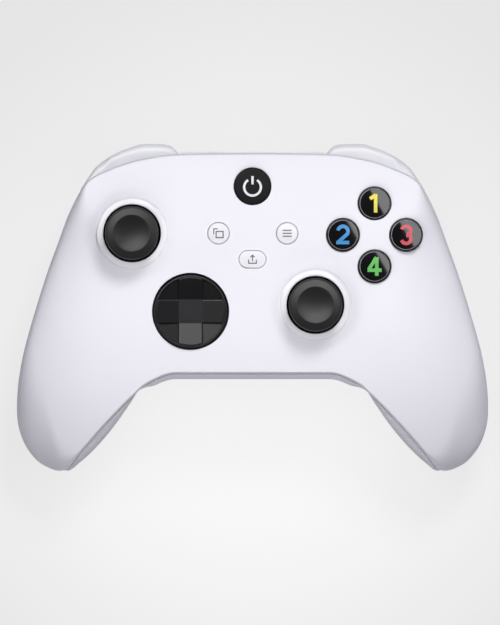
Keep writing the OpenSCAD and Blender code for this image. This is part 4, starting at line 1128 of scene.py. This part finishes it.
# Signs on the small buttons, as strokes in millimetres round the button's middle
smallSigns = {
    "view": [([(-0.25, 1.45), (-1.5, 1.45), (-1.5, -0.35)], False),
             ([(-0.75, 0.6), (1.5, 0.6), (1.5, -1.4), (-0.75, -1.4), (-0.75, 0.6)], True)],
    "menu": [([(-1.45, height), (1.45, height)], False) for height in (0.95, 0.0, -0.95)],
}
for name, spot in (("view", viewSpot), ("menu", menuSpot)):
    body = name + "_button"
    crown = faceHeight(spot[0], spot[1]) + smallButton["rise"]
    profile = smallProfile(spot, smallButton["radius"], smallButton["dome"])
    buttonGrid = revolve(profile, spot, smallButton["segments"])
    sewnPiece(name + "Button", [tube(buttonGrid)], body, "trim_white", [body])
    domeAt = domeOver(spot, crown, smallButton["dome"], smallButton["radius"] - smallButton["edge"])
    strokes = []
    for stroke, closed in smallSigns[name]:
        strokes += ribbon(np.array(stroke) + spot, smallButton["line"], domeAt, closed)
    sewnPiece(name + "Sign", strokes, body, "trim_white", material=inkGrey)

guideProfile = smallProfile(guideSpot, smallButton["guideRadius"], smallButton["guideDome"])
guideGrid = revolve(guideProfile, guideSpot, smallButton["segments"])
sewnPiece("guideButton", [tube(guideGrid)], "guide_button", "guide_black", ["guide_button"])
guideCrown = faceHeight(guideSpot[0], guideSpot[1]) + smallButton["rise"]
guideSign = {"radius": 2.7, "drop": 0.3, "gap": 32.0, "width": 0.75, "bar": (3.3, 0.6), "domeRadius": 5.65}
guideDomeAt = domeOver(guideSpot, guideCrown, smallButton["guideDome"], guideSign["domeRadius"])
gap = guideSign["gap"]
guideArc = arc((0, -guideSign["drop"]), guideSign["radius"], 90 + gap, 450 - gap, 40)
guideBar = np.array([(0, end) for end in guideSign["bar"]])
guidePatches = ribbon(guideArc + guideSpot, guideSign["width"], guideDomeAt, fine=2)
guidePatches += ribbon(guideBar + guideSpot, guideSign["width"], guideDomeAt)
sewnPiece("guideSign", guidePatches, "guide_button", "guide_black", material=inkWhite)

shareCrown = faceHeight(shareSpot[0], shareSpot[1]) + smallButton["rise"]
shareHigh = flangeTop(shareSpot, smallButton["shareLength"] / 2 + smallButton["flange"])


# Share button as (inset, height): the flange, a quarter-round edge, then a top that rises with a parabola
def shareProfile():
    flange = smallButton["flange"]
    flangeLow = shareHigh - smallButton["flangeThick"]
    edge = smallButton["shareEdge"]
    crest = shareCrown - smallButton["shareDome"]
    across = smallButton["shareWidth"] / 2 - edge
    steps = [(smallButton["stem"], flangeLow), (-flange, flangeLow), (-flange, shareHigh), (0, shareHigh)]
    for t in np.linspace(0, np.pi / 2, 7):
        steps.append((edge * (1 - np.cos(t)), crest - edge * (1 - np.sin(t))))
    for inset in np.linspace(*smallButton["shareInner"], 8):
        steps.append((inset, crest + smallButton["shareDome"] * (1 - (1 - (inset - edge) / across) ** 2)))
    return steps


def levelAt(x, y):
    return np.zeros_like(x)


def shareTopAt(x, y):
    return shareCrown - smallButton["shareSignFall"] * (y - shareSpot[1]) ** 2


shareGrid = pillGrid(smallButton["shareLength"], smallButton["shareWidth"], shareProfile(), shareSpot,
                     levelAt)
stemTop = shareHigh - smallButton["stemDrop"]
stemProfile = [(0, smallButton["stemLow"]), (smallButton["stem"], smallButton["stemLow"]),
               (smallButton["stem"], stemTop), (0, stemTop)]
sharePatches = pillPatches(shareGrid) + [tube(revolve(stemProfile, shareSpot, smallButton["stemSegments"]))]
sewnPiece("shareButton", sharePatches, "share_button", "trim_white", ["share_button"])
shareStrokes = [[(-1.25, -0.1), (-1.25, -1.25), (1.25, -1.25), (1.25, -0.1)], [(0, -0.6), (0, 1.3)],
                [(-0.65, 0.7), (0, 1.35), (0.65, 0.7)]]
sharePaths = []
for stroke in shareStrokes:
    sharePaths += ribbon(np.array(stroke) + shareSpot, smallButton["line"], shareTopAt)
sewnPiece("shareSign", sharePaths, "share_button", "trim_white", material=inkGrey)
print("small buttons made")

for name, node in frame["nodes"].items():
    node.data.materials.clear()
    node.data.materials.append(finish[slotOf[name]])

# Floor, light and camera
studio = {
    # The floor's two tones are a painted pool of light, bright in the middle and darker at the edges
    "floorReach": 12.0, "floorTone": rgb(0.975, 0.975, 0.975), "floorEdge": rgb(0.815, 0.815, 0.815),
    "floorMiddle": (0.0, -0.02), "floorFrom": 0.02, "floorTo": 0.15, "floorDim": rgb(0.45, 0.44, 0.48),
    "floorGlow": 0.8,
    "keyAt": (0.24, 0.74, 1.05), "keySize": (0.36, 0.36), "keyPower": 7.6,
    "fillAt": (-0.01, -0.055, 0.25), "fillSize": (0.3, 0.3), "fillPower": 0.4,
    "cardAt": (-0.2, 0.5, 0.85), "cardSize": (1.1, 0.5), "cardPower": 8.8,
    "windowAt": (0.0627, 0.0374, 0.15), "windowSize": (0.03, 0.072), "windowPower": 0.043, "windowTurn": 30.0,
    "ambient": rgb(0.62, 0.6, 0.68), "ambientStrength": 0.22,
    "horizon": rgb(0.4, 0.4, 0.42), "zenith": rgb(0.06, 0.06, 0.065), "gradientSpan": (0.05, 0.75),
    "backdrop": rgb(0.68, 0.68, 0.68),
    "cameraHeight": 4.0, "aim": (-0.81, -1.46), "frameHeight": 202.2, "aimHeight": 40.0, "sensor": 36.0,
}


# Rays of the kinds that look at the backdrop: from the lens, from gloss and through clear pieces
def lookingRays(wire):
    first = wire.node("ShaderNodeLightPath", {}, {}, "Is Camera Ray")
    outputs = first.socket.node.outputs
    others = [Wire(wire.tree, outputs[name]) for name in ("Is Glossy Ray", "Is Transmission Ray")]
    return wire.math("MAXIMUM", wire.math("MAXIMUM", first, others[0]), others[1])


# Pale paper with a painted pool of light, brightest under the pad and darker towards the edges; what it
# throws back on the pad is dimmer than what the lens sees
def studioFloor():
    material, wire, shader = startMaterial("floorPaper", {"Roughness": 0.9, "Specular IOR Level": 0.1})
    offset = (-studio["floorMiddle"][0], -studio["floorMiddle"][1], 0.0)
    where = wire.node("ShaderNodeVectorMath", {"operation": "ADD"}, {0: place(wire), 1: offset})
    away = wire.node("ShaderNodeVectorMath", {"operation": "LENGTH"}, {0: where}, 1)
    # painted pool of light: brightest round the middle, fading to the darker edge tone
    tone = away.step(studio["floorFrom"], studio["floorTo"]).mix(studio["floorTone"], studio["floorEdge"])
    looking = lookingRays(wire)
    feed(shader, "Base Color", looking.mix(studio["floorDim"], tone))
    paper = Wire(wire.tree, shader.outputs[0])
    # the lens sees the painted pool partly as glow
    glow = wire.node("ShaderNodeEmission", {}, {"Color": tone})
    surface = wire.node("ShaderNodeMixShader", {}, {0: looking * studio["floorGlow"], 1: paper, 2: glow})
    output = wire.tree.nodes["Material Output"]
    wire.tree.links.new(surface.socket, output.inputs["Surface"])
    return material


reach = studio["floorReach"]
floorMesh = bpy.data.meshes.new("floor")
floorCorners = [(-reach, -reach, 0), (reach, -reach, 0), (reach, reach, 0), (-reach, reach, 0)]
floorMesh.from_pydata(floorCorners, [], [(0, 1, 2, 3)])
floorMesh.materials.append(studioFloor())
floor = bpy.data.objects.new("floor", floorMesh)
scene.collection.objects.link(floor)


# Rectangular lamp aimed at the pad, or level; a card shows only in reflections
def areaLamp(name, card, level=False):
    lamp = bpy.data.lights.new(name, "AREA")
    lamp.shape = "RECTANGLE"
    lamp.size, lamp.size_y = studio[name + "Size"]
    lamp.energy = studio[name + "Power"]
    holder = bpy.data.objects.new(name + "Lamp", lamp)
    scene.collection.objects.link(holder)
    holder.location = studio[name + "At"]
    if not level:
        holder.rotation_euler = holder.location.to_track_quat("Z", "Y").to_euler()
    holder.visible_camera = False
    holder.visible_glossy = card
    holder.visible_diffuse = not card
    return holder


areaLamp("key", False)
areaLamp("fill", False)
areaLamp("card", True)
windowLamp = areaLamp("window", True, True)
windowLamp.rotation_euler = (0.0, 0.0, np.radians(studio["windowTurn"]))

# The lens sees plain pale air; reflections see it pale at the horizon and dark overhead; its light is dim
world = bpy.data.worlds.new("studioAir")
scene.world = world
world.use_nodes = True
air = Wire(world.node_tree)
world.node_tree.nodes.clear()
heading = air.node("ShaderNodeTexCoord", {}, {}, "Generated")
height = air.node("ShaderNodeSeparateXYZ", {}, {"Vector": heading}, 2)
gradient = height.step(*studio["gradientSpan"]).mix(studio["horizon"], studio["zenith"])
toLens = air.node("ShaderNodeLightPath", {}, {}, "Is Camera Ray")
seen = air.node("ShaderNodeBackground", {}, {"Color": toLens.mix(gradient, studio["backdrop"])})
lit = air.node("ShaderNodeBackground", {},
               {"Color": studio["ambient"], "Strength": studio["ambientStrength"]})
shown = air.node("ShaderNodeMixShader", {}, {0: lookingRays(air), 1: lit, 2: seen})
worldOut = world.node_tree.nodes.new("ShaderNodeOutputWorld")
world.node_tree.links.new(shown.socket, worldOut.inputs["Surface"])

lens = bpy.data.cameras.new("camera")
camera = bpy.data.objects.new("camera", lens)
scene.collection.objects.link(camera)
camera.location = (studio["aim"][0] * mm, studio["aim"][1] * mm, studio["cameraHeight"])
lens.sensor_width = studio["sensor"]
distance = studio["cameraHeight"] - studio["aimHeight"] * mm
lens.lens = studio["sensor"] * distance / (studio["frameHeight"] * mm)
scene.camera = camera
print("studio set up")
